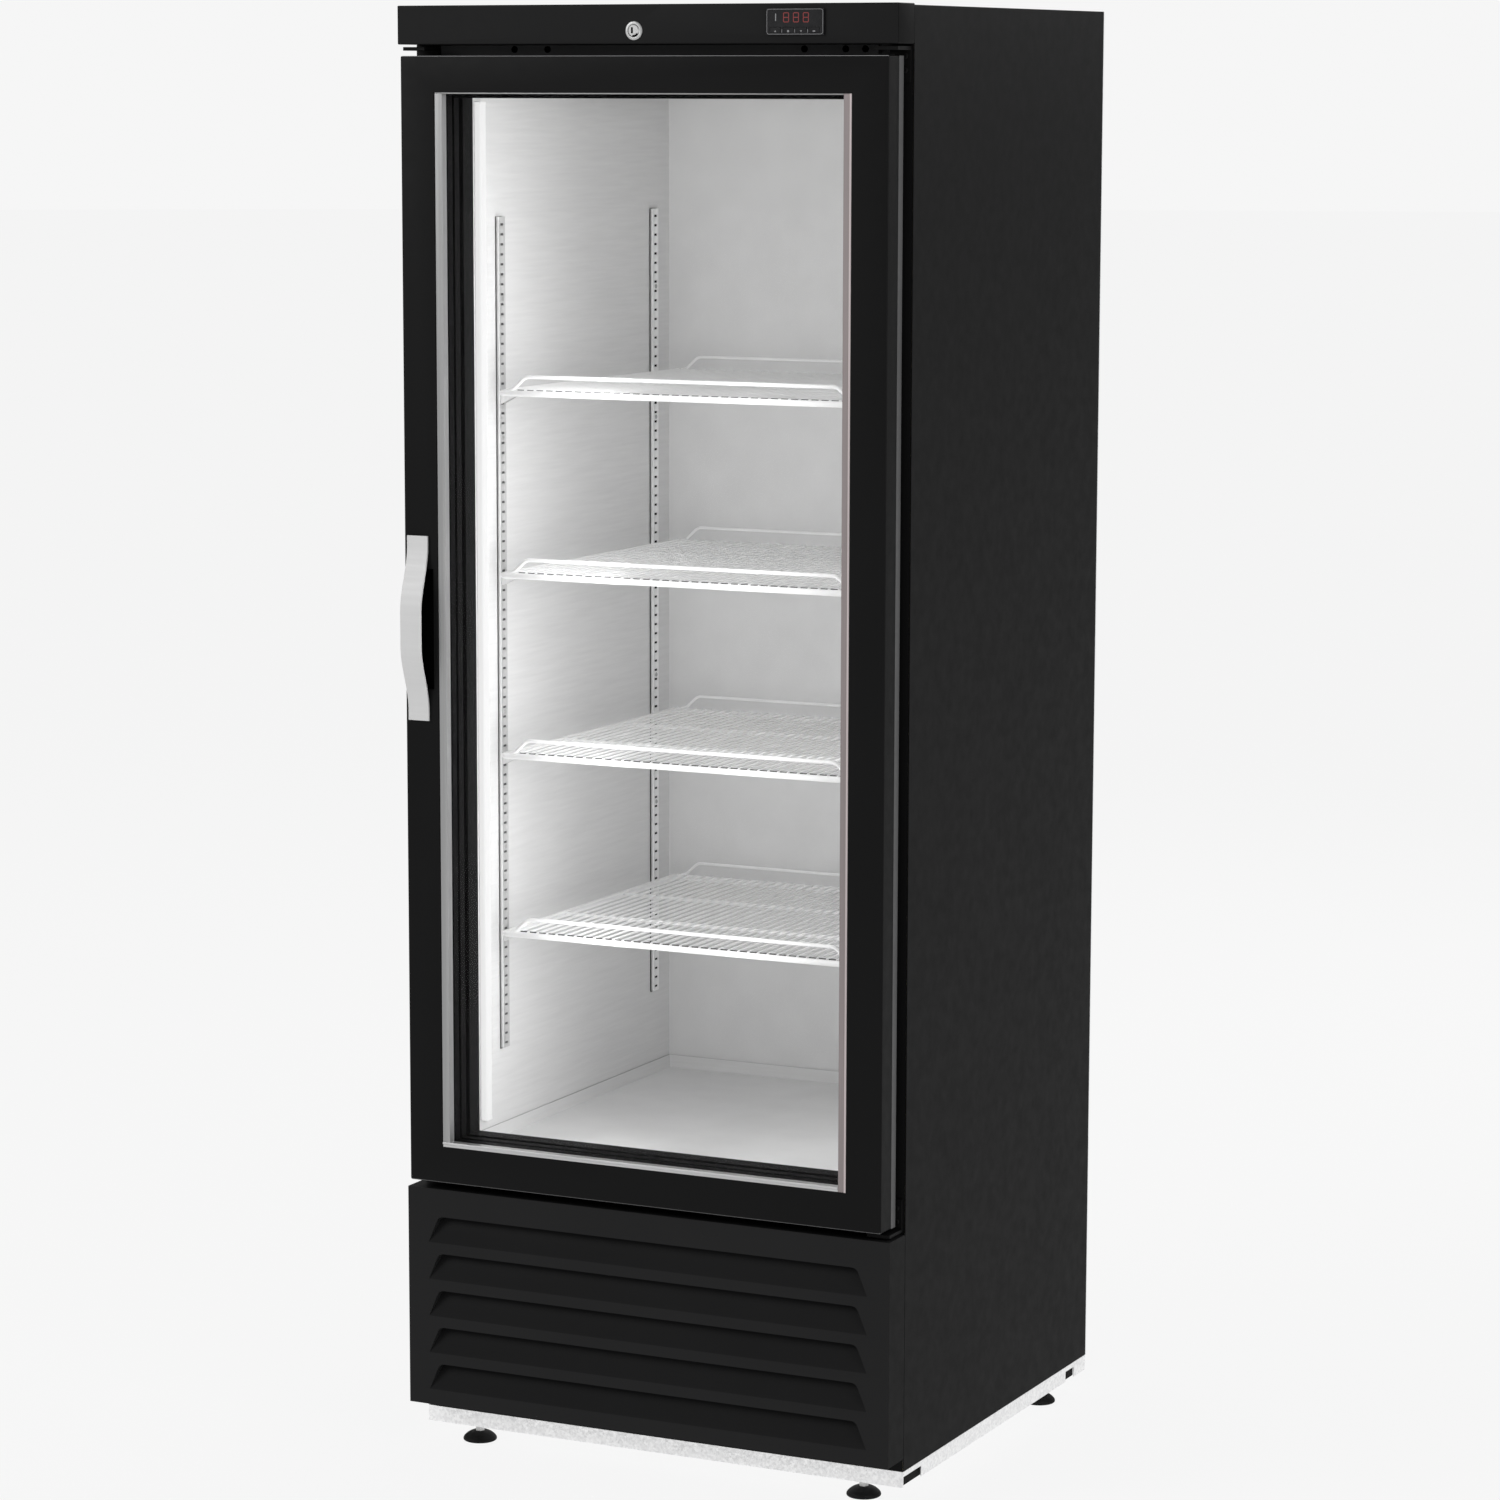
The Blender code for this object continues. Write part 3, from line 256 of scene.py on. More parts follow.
LOOKS = {
    "header": paint("header_paint", 0.0105),
    "side": paint("side_paint", 0.0050, specular=0.030),
    # Lighter paint for the body's front face in the gap under the header: painted light in a gap
    # that lies in shade
    "painted_light_gap_face": paint("gap_face_paint", 0.0600, roughness=0.6),
    "seam": paint("seam_shadow", 0.0900, roughness=0.7),
    "grille": paint("grille_paint", 0.0155),
    # A darker copy of the grille paint for the louvre blades of the same pressed sheet: painted
    # shade
    "louvre": paint("louvre_shade_paint", 0.0115, specular=0.04),
    "door": paint("door_paint", 0.0065),
    # Lighter, glossier paints for the door frame's top and bottom front folds: painted highlights
    # along those edges
    "painted_highlight_edge": paint("highlight_edge_paint", 0.4200, roughness=0.30, specular=0.9),
    "painted_highlight_low_edge": paint("highlight_low_edge_paint", 0.0600, roughness=0.30, specular=0.6),
    "frame_black": paint("frame_paint", 0.0060, roughness=0.55),
    "machine_black": paint("machine_paint", 0.0100, roughness=0.30, specular=0.5),
    "galvanised": finish(
        "galvanised_sheet", (0.46, 0.47, 0.48), 0.42, shade=(CELLS, 0.12), gloss=(CELLS, 0.25),
        relief=[(pattern(600.0), 0.00001)], Metallic=0.70,
    ),
    "pan": finish(
        "pan_sheet", (0.98, 0.98, 0.985), 0.50, shade=(pattern(340.0, kind="TexVoronoi"), 0.09),
        gloss=(pattern(300.0, kind="TexVoronoi"), 0.20),
        relief=[(pattern(900.0), 0.00001)], Metallic=0.95,
    ),
    "liner": finish(
        "liner_sheet", (0.74, 0.74, 0.74), 0.55,
        shade=(pattern(110.0, (0.12, 0.12, 2.0), detail=8.0), 0.040),
        gloss=(pattern(60.0, (0.3, 0.3, 6.0)), 0.15),
        relief=[(pattern(500.0, (0.06, 0.06, 1.0)), 0.00001)], Metallic=0.05,
    ),
    "liner_back": finish(
        "liner_back_sheet", (0.76, 0.76, 0.76), 0.55, shade=(pattern(22.0, detail=7.0), 0.030),
        gloss=(pattern(60.0), 0.15), relief=[(pattern(500.0), 0.00001)], Metallic=0.05,
    ),
    # Copies of one aluminium, lighter and darker by place on the window trim: painted light and
    # shade. The right upright is darker with a warm tint and its edge lighter; the head is darker
    # and the sill lighter
    "trim_upright": brushed("trim_upright_aluminium", 0.34, 0.34, ALONG_Z),
    "trim_lip": brushed("trim_lip_aluminium", 0.35, 0.34, ALONG_Z, metallic=0.5),
    "trim_right": brushed("trim_right_shaded_aluminium", 0.22, 0.45, ALONG_Z, metallic=0.3, warm=0.16),
    "trim_right_edge": brushed("trim_edge_lit_aluminium", 0.46, 0.40, ALONG_Z, metallic=0.3, warm=0.14),
    "trim_head": brushed("trim_head_shaded_aluminium", 0.30, 0.36, ALONG_X, metallic=0.8),
    "trim_rail": brushed("trim_rail_lit_aluminium", 0.55, 0.36, ALONG_X, metallic=0.8),
    "handle": finish(
        "handle_satin", (0.60, 0.60, 0.60), 0.60, shade=(pattern(220.0, ALONG_X), 0.015),
        gloss=(pattern(260.0, ALONG_X), 0.10), Metallic=0.30, Specular_IOR_Level=0.3,
    ),
    "lock": brushed("lock_satin", 0.46, 0.42, (1, 1, 1), metallic=0.6),
    "zinc": brushed("zinc_plate", 0.78, 0.36, ALONG_Z, metallic=0.7),
    # The uprights' bright metal, and a darker copy of it for the front uprights' faces: painted
    # shade on those faces
    "strip": brushed("strip_plate", 0.97, 0.45, ALONG_Z, metallic=0.05),
    "strip_face": brushed("strip_face_shaded_plate", 0.52, 0.50, ALONG_Z, metallic=0.10),
    # A dark metal for a rod under the white wires: painted shadow between the wires behind the
    # front border
    "tie_rod": brushed("tie_rod_shadow_dark", 0.06, 0.60, ALONG_X, metallic=0.3),
    "fins": brushed("fin_aluminium", 0.66, 0.34, ALONG_X),
    "copper": coat(
        "copper_tube", (0.72, 0.36, 0.22), 0.32, (40.0, 0.18), (80.0, 0.25), Metallic=1.0
    ),
    "wire": coat(
        "white_wire_coating", (0.95, 0.95, 0.95), 0.35, (30.0, 0.02), (120.0, 0.15),
        (350.0, 0.00003),
    ),
    "white": coat(
        "white_moulding", (0.80, 0.80, 0.79), 0.42, (12.0, 0.03), (90.0, 0.15),
        (1100.0, 0.00001),
    ),
    "black_plastic": coat(
        "black_moulding", (0.0060, 0.0060, 0.0062), 0.60, (20.0, 0.10), (120.0, 0.15),
        (1300.0, 0.00001), Specular_IOR_Level=0.06,
    ),
    # Near-black with almost no sheen, darker than the black plastic: painted shade for the recessed
    # finger pocket, the screws in the gap under the header and the keyway slot
    "pocket": paint("recess_shade_black", 0.0012, roughness=0.7, specular=0.01),
    "grey_plastic": coat(
        "grey_moulding", (0.055, 0.055, 0.057), 0.45, (20.0, 0.08), (120.0, 0.15),
        (1300.0, 0.00002),
    ),
    "dark_face": coat(
        "dark_face", (0.008, 0.008, 0.009), 0.22, (40.0, 0.10), (90.0, 0.20),
        Specular_IOR_Level=0.3,
    ),
    "rim_grey": coat(
        "rim_moulding", (0.085, 0.085, 0.086), 0.40, (20.0, 0.08), (120.0, 0.15),
        (1300.0, 0.00002), Specular_IOR_Level=0.3,
    ),
    "rubber": coat(
        "black_rubber", (0.0075, 0.0075, 0.0075), 0.58, (40.0, 0.15), (150.0, 0.15),
        (900.0, 0.00003), Specular_IOR_Level=0.12,
    ),
    "foam": finish(
        "foam_core", (0.80, 0.70, 0.42), 0.95, shade=(pattern(400.0), 0.12),
        relief=[(pattern(700.0, detail=6.0), 0.0004)],
    ),
    "diffuser": coat(
        "light_diffuser", (0.14, 0.14, 0.14), 0.6, (60.0, 0.02), Specular_IOR_Level=0.1,
        Emission_Color=(1.0, 1.0, 1.0, 1), Emission_Strength=0.74,
    ),
    "digit": coat(
        "lit_digit", (0.09, 0.006, 0.006), 0.4, (800.0, 0.10),
        Emission_Color=(1.0, 0.05, 0.04, 1), Emission_Strength=0.11,
    ),
    "mark": coat("printed_mark", (0.22, 0.22, 0.225), 0.5, (900.0, 0.08)),
    "glass": glass(),
}


# ---- Mesh building ----
def add_box(data, low, high):
    """A box in the bmesh."""
    corners = []
    for x in (low[0], high[0]):
        for y in (low[1], high[1]):
            for z in (low[2], high[2]):
                corners.append(data.verts.new((x, y, z)))
    for face in ("0132", "4675", "0451", "2376", "0264", "1573"):
        data.faces.new([corners[int(digit)] for digit in face])


def add_rings(data, rings, closed=False):
    """Faces between neighbouring rings of vertices; a ring of one vertex is a point."""
    pairs = list(zip(rings, rings[1:]))
    if closed:
        pairs.append((rings[-1], rings[0]))
    for lower, upper in pairs:
        count = max(len(lower), len(upper))
        for index in range(count):
            after = (index + 1) % count
            if len(lower) == 1:
                data.faces.new((lower[0], upper[after], upper[index]))
            elif len(upper) == 1:
                data.faces.new((lower[index], lower[after], upper[0]))
            else:
                data.faces.new((lower[index], lower[after], upper[after], upper[index]))


def add_lathe(data, profile, centre, axis="Z", segments=32, closed=False):
    """A turned shape from (radius, height) points; a zero radius closes it on its axis."""
    turn = Matrix.Rotation(-pi / 2, 4, "X") if axis == "Y" else Matrix.Identity(4)
    place = Matrix.Translation(centre) @ turn
    rings = []
    for radius, height in profile:
        ring = []
        for index in range(segments if radius else 1):
            angle = 2 * pi * index / segments
            point = Vector((radius * cos(angle), radius * sin(angle), height))
            ring.append(data.verts.new(place @ point))
        rings.append(ring)
    add_rings(data, rings, closed)


def arc(centre, radius, start, sweep, steps):
    """Points along an arc as pairs, both ends included; the angles are in radians."""
    angles = [start + sweep * step / steps for step in range(steps + 1)]
    return [(centre[0] + radius * cos(a), centre[1] + radius * sin(a)) for a in angles]


def shared_verts(data):
    """A function that gives the vertex at a place, and makes it only once."""
    known = {}

    def vert(x, y, z):
        key = (round(x, 6), round(y, 6), round(z, 6))
        if key not in known:
            known[key] = data.verts.new(key)
        return known[key]

    return vert


def rounded(points, radius, steps=4, closed=False):
    """The polyline with an arc of about this radius at each corner."""
    points = [Vector(p) for p in points]
    count = len(points)
    result = []
    for index, point in enumerate(points):
        if not closed and index in (0, count - 1):
            result.append(point)
            continue
        back = points[index - 1] - point
        ahead = points[(index + 1) % count] - point
        reach = min(radius, back.length * 0.49, ahead.length * 0.49)
        start = point + back.normalized() * reach
        end = point + ahead.normalized() * reach
        for step in range(steps + 1):
            t = step / steps
            result.append(start * (1 - t) ** 2 + point * 2 * t * (1 - t) + end * t**2)
    return result


def add_tube(data, points, radius, sides=8, closed=False):
    """A round wire or pipe along the points, with flat ends unless it is closed."""
    points = [Vector(p) for p in points]
    count = len(points)
    rings = []
    normal = None
    for index, point in enumerate(points):
        before = points[index - 1] if closed or index else point
        after = points[(index + 1) % count] if closed or index < count - 1 else point
        along = (after - before).normalized()
        if normal is None:
            normal = along.orthogonal().normalized()
        normal = (normal - along * normal.dot(along)).normalized()
        across = along.cross(normal)
        ring = []
        for side in range(sides):
            angle = 2 * pi * side / sides
            spoke = normal * cos(angle) + across * sin(angle)
            ring.append(data.verts.new(point + spoke * radius))
        rings.append(ring)
    add_rings(data, rings, closed)
    if not closed:
        data.faces.new(list(reversed(rings[0])))
        data.faces.new(rings[-1])


def add_prism(data, outline, low, high, plane="yz"):
    """A solid whose outline lies in this plane, between low and high on the third axis."""
    first, second = ("xyz".index(letter) for letter in plane)
    ends = []
    for level in (low, high):
        ring = []
        for point in outline:
            place = [level, level, level]
            place[first], place[second] = point
            ring.append(data.verts.new(place))
        ends.append(ring)
    data.faces.new(ends[0])
    data.faces.new(list(reversed(ends[1])))
    for index in range(len(outline)):
        after = (index + 1) % len(outline)
        data.faces.new((ends[0][index], ends[1][index], ends[1][after], ends[0][after]))


def new_object(name, data):
    """An object in the scene with the bmesh as its mesh."""
    mesh = bpy.data.meshes.new(name)
    data.to_mesh(mesh)
    data.free()
    made = bpy.data.objects.new(name, mesh)
    bpy.context.scene.collection.objects.link(made)
    return made


def piece(name, data, look, body, replaces=(), bevel=0.0, segments=2, angle=35, sheet=0.0):
    """Turns the bmesh into a finished piece that rides on a body."""
    bmesh.ops.recalc_face_normals(data, faces=data.faces)
    made = new_object(name, data)
    made.data.materials.append(LOOKS[look])
    made.data.shade_smooth()
    made.data.set_sharp_from_angle(angle=radians(angle))
    if sheet:
        shell = made.modifiers.new("sheet", "SOLIDIFY")
        shell.thickness = sheet
        shell.offset = -1
        shell.use_even_offset = True
    if bevel:
        round_off = made.modifiers.new("edges", "BEVEL")
        round_off.width = bevel
        round_off.segments = segments
        round_off.limit_method = "ANGLE"
        round_off.angle_limit = radians(40)
        round_off.harden_normals = True
        round_off.use_clamp_overlap = True
    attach(made, body)
    if replaces:
        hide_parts(*replaces)
    return made


def punched(data, centres, radius):
    """The bmesh with round holes cut through it, front to back, at these (x, z) centres."""
    tools = bmesh.new()
    start, end = BODY_BACK - 0.02, BODY_BACK + 0.01
    for x, z in centres:
        profile = [(0, start), (radius, start), (radius, end), (0, end)]
        add_lathe(tools, profile, Vector((x, 0, z)), "Y", 24)
    bmesh.ops.recalc_face_normals(tools, faces=tools.faces)
    blanks = [new_object("blank", source) for source in (data, tools)]
    holes = blanks[0].modifiers.new("holes", "BOOLEAN")
    holes.object = blanks[1]
    holes.solver = "EXACT"
    shaped = blanks[0].evaluated_get(bpy.context.evaluated_depsgraph_get())
    result = bmesh.new()
    result.from_mesh(shaped.data)
    for blank in blanks:
        bpy.data.objects.remove(blank)
    return result


def refined(
    node, look, bevel=0.0005, segments=2, fold=0.0, accent=None, holes=None, split=False
):
    """A copy of a CAD node with its edges rounded; fold rounds the outermost front edges more.

    accent is (look, test): the faces whose centre and normal pass the test take that look.
    holes is (centres, radius) of round holes, and split leaves its flat faces in triangles.
    """
    source = NODES[node]
    data = bmesh.new()
    data.from_mesh(source.data)
    bmesh.ops.remove_doubles(data, verts=data.verts, dist=2e-5)
    bmesh.ops.dissolve_limit(data, angle_limit=radians(1), verts=data.verts, edges=data.edges)
    if holes:
        data = punched(data, *holes)
    if split:
        bmesh.ops.triangulate(data, faces=data.faces)
    if fold:
        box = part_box(node)
        sides = [(axis, corner[axis]) for axis in range(3) for corner in box]
        chosen = []
        for edge in data.edges:
            on = [
                (axis, value) for axis, value in sides
                if all(abs(v.co[axis] - value) < 1e-5 for v in edge.verts)
            ]
            front = any(abs(v.co.y - box[0].y) < 1e-5 for v in edge.verts)
            sharp = len(edge.link_faces) == 2 and edge.calc_face_angle(0) >= radians(60)
            if sharp and front and len(on) >= 2:
                chosen.append(edge)
        bmesh.ops.bevel(
            data, geom=chosen, offset=fold, segments=4, profile=0.5, affect="EDGES",
            clamp_overlap=True,
        )
    if accent:
        data.normal_update()
        for face in data.faces:
            if accent[1](face.calc_center_median(), face.normal):
                face.material_index = 1
    made = piece(f"{node}_skin", data, look, source["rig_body"], [node], bevel, segments)
    if accent:
        made.data.materials.append(LOOKS[accent[0]])
    return made


def keep(node, look):
    """Leaves a CAD node showing, with a finished material."""
    mesh = NODES[node].data
    mesh.materials.clear()
    mesh.materials.append(LOOKS[look])


def add_screw(data, centre, axis, radius=0.0038, height=0.0022, sign=-1):
    """A pan-head screw with a cross recess; sign is the way its head points along the axis."""
    rim = 20
    quarter = rim // 4
    arm = radius * 0.55
    half = radius * 0.13
    u = Vector((1, 0, 0)) if axis != "x" else Vector((0, 1, 0))
    n = Vector([1 if letter == axis else 0 for letter in "xyz"]) * sign
    v = n.cross(u)
    middle = Vector(centre)

    def ring(points, scale, rise):
        places = [middle + (u * x + v * y) * scale + n * height * rise for x, y in points]
        return [data.verts.new(place) for place in places]

    circle = [(cos(2 * pi * step / rim), sin(2 * pi * step / rim)) for step in range(rim)]
    head = ((1, 0), (1, 0.45), (0.82, 0.85), (0.62, 1))
    rings = [ring(circle, radius * share, rise) for share, rise in head]
    add_rings(data, rings)
    cross = []
    for turn in range(4):
        x, y = cos(pi / 2 * turn), sin(pi / 2 * turn)
        for along, across in ((half, -half), (arm, -half), (arm, half)):
            cross.append((x * along - y * across, y * along + x * across))
    top, floor = ring(cross, 1, 1), ring(cross, 0.6, 0.3)
    add_rings(data, [floor, top])
    data.faces.new(list(reversed(floor)))
    for turn in range(4):
        first = turn * 3
        outer = [rings[-1][(turn * quarter + step) % rim] for step in range(quarter + 1)]
        inner = [top[first + 2], top[(first + 3) % 12], top[(first + 4) % 12]]
        data.faces.new(inner + list(reversed(outer)))
        data.faces.new([top[first + 1], top[first + 2], outer[0]])
    data.faces.new(list(reversed(rings[0])))


# ---- CAD nodes that only need rounded edges: the bevel of each, by look and slot ----
PLAIN = {
    ("side", "black_paint"): {
        "side_panel_left": 0.0005, "side_panel_right": 0.0005, "top_panel": 0.0004,
    },
    ("pan", "galvanised_steel"): {"base_pan": 0.0005},
    ("frame_black", "black_paint"): {
        "front_frame": 0.0003, "hinge_plate_top": 0.0006, "hinge_plate_bottom": 0.0006,
        "hinge_plate_spare": 0.0006,
    },
    ("black_plastic", "black_plastic"): {
        "breaker_strip": 0.0006, "hinge_bush_top": 0.0003, "hinge_bush_bottom": 0.0003,
        "evaporator_fan": 0.0002, "cord_gland": 0.0003,
    },
    ("grey_plastic", "grey_plastic"): {
        "evaporator_fan_motor": 0.0006, "condenser_fan": 0.0002, "evaporation_pan": 0.0006,
    },
    ("machine_black", "black_paint"): {"compressor": 0.0005, "condenser_fan_motor": 0.0006},
    ("white", "white_plastic"): {"evaporator_cover": 0.0006},
    ("galvanised", "galvanised_steel"): {"fan_shroud": 0.0003},
}


# ---- Body shell ----
def body_shell():
    """The rear covers, closing strips, header, liner and floor tray."""
    for name, screws in REAR_SCREWS.items():
        refined(name, "galvanised", bevel=0.0003, holes=(screws, 0.0045))
    pan_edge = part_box("base_pan")[1]
    # Dark blocks behind the fork notches in the base pan's sides: painted shadow in the notches
    data = bmesh.new()
    for side in SIDES.values():
        near, far = sorted((side * (pan_edge.x - 0.0040), side * (pan_edge.x - 0.0065)))
        for start, end in ((-0.2660, -0.2000), (0.2700, 0.3120)):
            add_box(data, (near, start, 0.0242), (far, end, 0.0400))
    piece("fork_slot_shadow_backs", data, "black_plastic", CABINET, bevel=0.0005)
    # A strip of lighter paint on the body's front face under the header: painted light in the
    # shaded gap
    data = bmesh.new()
    add_box(data, (-0.3070, BODY_FRONT - 0.0008, 1.8030), (0.2960, BODY_FRONT - 0.0001, 1.8150))
    piece("gap_strip", data, "painted_light_gap_face", CABINET, bevel=0.0002)
    # Thin strips that close the slots over and under the grille
    half = GRILLE_HIGH.x - 0.0020
    for name, front, low, high in (
        ("frame_return", -0.0002, GRILLE_HIGH.z - 0.0150, GRILLE_HIGH.z + 0.0009),
        ("base_return", 0.0006, pan_edge.z + 0.0003, GRILLE_LOW.z + 0.0100),
    ):
        data = bmesh.new()
        face = BODY_FRONT + front
        add_box(data, (-half, face, low), (half, face + 0.0010, high))
        piece(name, data, "frame_black", CABINET, bevel=0.0002)
    # The header's faces that turn to the sides take the side panels' darker paint: painted shade by
    # facing
    refined(
        "header_panel", "header", bevel=0.0003, fold=0.0014,
        accent=("side", lambda centre, normal: abs(normal.x) > 0.8),
    )
    keep("insulation_foam", "foam")
    refined(
        "inner_liner", "liner", bevel=0.0002,
        accent=("liner_back", lambda centre, normal: normal.y < -0.9 and centre.y > 0.25),
    )
    tray_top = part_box("floor_tray")[1].z
    refined(
        "floor_tray", "liner", bevel=0.0001,
        accent=("seam", lambda centre, normal: normal.z > 0.8 and centre.z > tray_top - 0.0005),
    )


def body_screws():
    """Screw heads on the body's front face, its back and its rear cover."""
    data = bmesh.new()
    for x in (-0.2015, -0.155, 0.198, 0.253, 0.279):
        add_screw(data, (x, BODY_FRONT - 0.0008, 1.8100), "y", radius=0.0042)
    for x in (-0.235, 0.0, 0.235):
        add_screw(data, (x, BODY_FRONT - 0.0001, 0.3590), "y", radius=0.0032)
    # These screws take the near-black recess paint: painted shade in the gap under the header
    piece("front_screws", data, "pocket", CABINET)
    data = bmesh.new()
    for screws in REAR_SCREWS.values():
        for x, z in screws:
            add_screw(data, (x, BODY_BACK - 0.0021, z), "y", radius=0.0041, height=0.0020, sign=1)
    piece("rear_screws", data, "zinc", CABINET)


# ---- Lower grille ----
def grille():
    """One pressed sheet: five louvres, each flush at its foot and set back at its head."""
    front = GRILLE_LOW.y
    back = GRILLE_HIGH.y
    width = GRILLE_HIGH.x
    rise = 0.035
    depth = 0.015
    pitch = 0.0493
    top_head = 0.3147
    foot_half = 0.313
    head_half = 0.298
    corner = 0.007
    feet = [top_head - pitch * index - rise for index in range(5)]
    data = bmesh.new()
    vert = shared_verts(data)

    def side_line(foot, side):
        """From the foot corner up the slanted end, round the head corner, in (x, z)."""
        head = foot + rise
        points = [
            (side * foot_half, 0, foot),
            (side * head_half, 0, head),
            (side * (head_half - 0.05), 0, head),
        ]
        return [(p.x, p.z) for p in rounded(points, corner, 5)][:-1]

    lines = {foot: {side: side_line(foot, side) for side in (-1, 1)} for foot in feet}
    edges = [GRILLE_LOW.z, GRILLE_HIGH.z] + feet + [foot + rise for foot in feet]
    edges.sort()
    for low, high in zip(edges[::2], edges[1::2]):
        below = [-width, width]
        if low > GRILLE_LOW.z:
            line = lines[min(feet, key=lambda f: abs(f + rise - low))]
            below = [-width, line[-1][-1][0], line[1][-1][0], width]
        above = [width, -width]
        if high < GRILLE_HIGH.z:
            above = [width, foot_half, -foot_half, -width]
        data.faces.new([vert(x, front, low) for x in below] + [vert(x, front, high) for x in above])
    for foot in feet:
        blades = {}
        for side in (-1, 1):
            line = lines[foot][side]
            loop = [vert(x, front, z) for x, z in line]
            blade = [vert(x, front + depth * (z - foot) / rise, z) for x, z in line]
            blades[side] = blade
            margin = [vert(side * width, front, foot + rise), vert(side * width, front, foot)]
            data.faces.new(loop + margin)
            for index in range(len(line) - 1):
                corners = [loop[index], loop[index + 1], blade[index + 1], blade[index]]
                data.faces.new(list(dict.fromkeys(corners)))
        data.faces.new(blades[-1] + list(reversed(blades[1]))).material_index = 1
    for x in (-width, width):
        column = [vert(x, front, z) for z in edges]
        rear = [vert(x, back, GRILLE_HIGH.z), vert(x, back, GRILLE_LOW.z)]
        data.faces.new(column + rear).material_index = 2
    for z in (GRILLE_LOW.z, GRILLE_HIGH.z):
        ring = [(-width, front), (width, front), (width, back), (-width, back)]
        data.faces.new([vert(x, y, z) for x, y in ring])
    made = piece(
        "grille_louvres", data, "grille", CABINET, ["grille_panel"],
        bevel=0.0007, sheet=0.0012,
    )
    # Slot 1 gives the blade faces the darker louvre paint and slot 2 gives the sheet's two ends the
    # side panels' darker paint: painted shade by facing
    for look in ("louvre", "side"):
        made.data.materials.append(LOOKS[look])


# ---- Door ----
def door():
    """The painted frame, its inner plastic frame, the two panes and the finger pocket."""

    def top_fold(centre, normal):
        return centre.z > DOOR_HIGH.z - 0.003 and normal.z > 0.7 and normal.y < -0.1

    def outer_rim(centre, normal):
        return abs(centre.x) > DOOR_HIGH.x - 0.0001

    # The top front fold takes a far lighter, glossy paint: painted highlight on the black frame
    made = refined(
        "door_frame", "door", bevel=0.0004, fold=0.0022,
        accent=("painted_highlight_edge", top_fold),
    )
    made.data.materials.append(LOOKS["painted_highlight_low_edge"])
    # The bottom front fold takes a lighter paint: painted highlight along the lower edge
    for face in made.data.polygons:
        if face.center.z < DOOR_LOW.z + 0.003 and face.normal.z < -0.2 and face.normal.y < -0.2:
            face.material_index = 2
    refined(
        "door_inner_frame", "black_plastic", bevel=0.0006,
        accent=("rim_grey", outer_rim),
    )
    keep("glass_outer", "glass")
    keep("glass_inner", "glass")
    keep("glass_spacer", "black_plastic")
    # The finger pocket's black plastic made darker still: painted shade in the recess
    refined("handle_pocket", "pocket", bevel=0.0012, segments=3)


def window_trim():
    """Four aluminium sections: rails at head and sill, and a stepped upright at each side."""
    front = TRIM_LOW.y
    back = TRIM_HIGH.y
    outer = TRIM_HIGH.x
    inner = 0.2755
    lip = 0.0030
    step = 0.0008
    bottom = TRIM_LOW.z
    sill = bottom + 0.0065
    top = TRIM_HIGH.z
    head = top - 0.0017
    end = inner - 0.0001
    # Each section takes its own lighter or darker copy of the aluminium: painted light and shade
    bars = {
        "trim_left": ("trim_upright", (-outer, front + step, sill), (-inner - lip, back, head)),
        "trim_left_lip": ("trim_lip", (-inner - lip, front, sill), (-inner, back, head)),
        "trim_right": ("trim_right", (inner, front + step, bottom), (outer - lip, back, top)),
        "trim_right_lip": ("trim_right_edge", (outer - lip, front, bottom), (outer, back, top)),
        "trim_sill": ("trim_rail", (-outer, front + step, bottom), (end, back, sill - lip)),
        "trim_sill_lip": ("trim_rail", (-outer, front, sill - lip), (end, back, sill)),
        "trim_head": ("trim_head", (-outer, front + step, head), (end, back, top)),
    }
    for index, (name, (look, low, high)) in enumerate(bars.items()):
        data = bmesh.new()
        add_box(data, low, high)
        replaced = ["window_trim"] if index == 0 else []
        piece(name, data, look, DOOR, replaced, bevel=0.0005, segments=3)


def gasket():
    """The magnetic seal: a soft double bead with a bellows groove, mitred at the corners."""
    low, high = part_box("door_gasket")
    depth = 0.0112
    profile = [
        (0.000, 0.0), (0.016, 0.0), (0.016, 0.0035), (0.0135, 0.0048), (0.016, 0.0062),
        (0.0160, 0.0100), (0.0145, depth), (0.0015, depth), (0.000, 0.0100),
        (0.000, 0.0062), (0.0025, 0.0048), (0.000, 0.0035),
    ]
    data = bmesh.new()
    rings = []
    for x, z, dx, dz in (
        (low.x, low.z, 1, 1), (high.x, low.z, -1, 1),
        (high.x, high.z, -1, -1), (low.x, high.z, 1, -1),
    ):
        places = [
            (x + dx * inset, low.y + reach / depth * (high.y - low.y), z + dz * inset)
            for inset, reach in profile
        ]
        rings.append([data.verts.new(place) for place in places])
    add_rings(data, rings, closed=True)
    piece("gasket_bellows", data, "rubber", DOOR, ["door_gasket"], bevel=0.0003)


def handle():
    """The strap handle: flat ends and a smooth forward arch, with rolled edges."""
    low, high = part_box("door_handle")
    thickness = 0.003
    flat = 0.012
    reach = 0.0192
    steps = 60
    face = high.y - thickness
    arch = high.z - low.z - 2 * flat
    outer = [(face, low.z)]
    for index in range(steps + 1):
        ramp = min(1, min(index, steps - index) / (0.4 * steps))
        lift = reach * (1 - cos(pi * ramp)) / 2
        outer.append((face - lift, low.z + flat + arch * index / steps))
    outer.append((face, high.z))
    inner = [(y + thickness, z) for y, z in reversed(outer)]
    data = bmesh.new()
    add_prism(data, outer + inner, low.x, high.x)
    piece(
        "handle_strap", data, "handle", DOOR, ["door_handle"],
        bevel=0.0006, segments=3,
    )


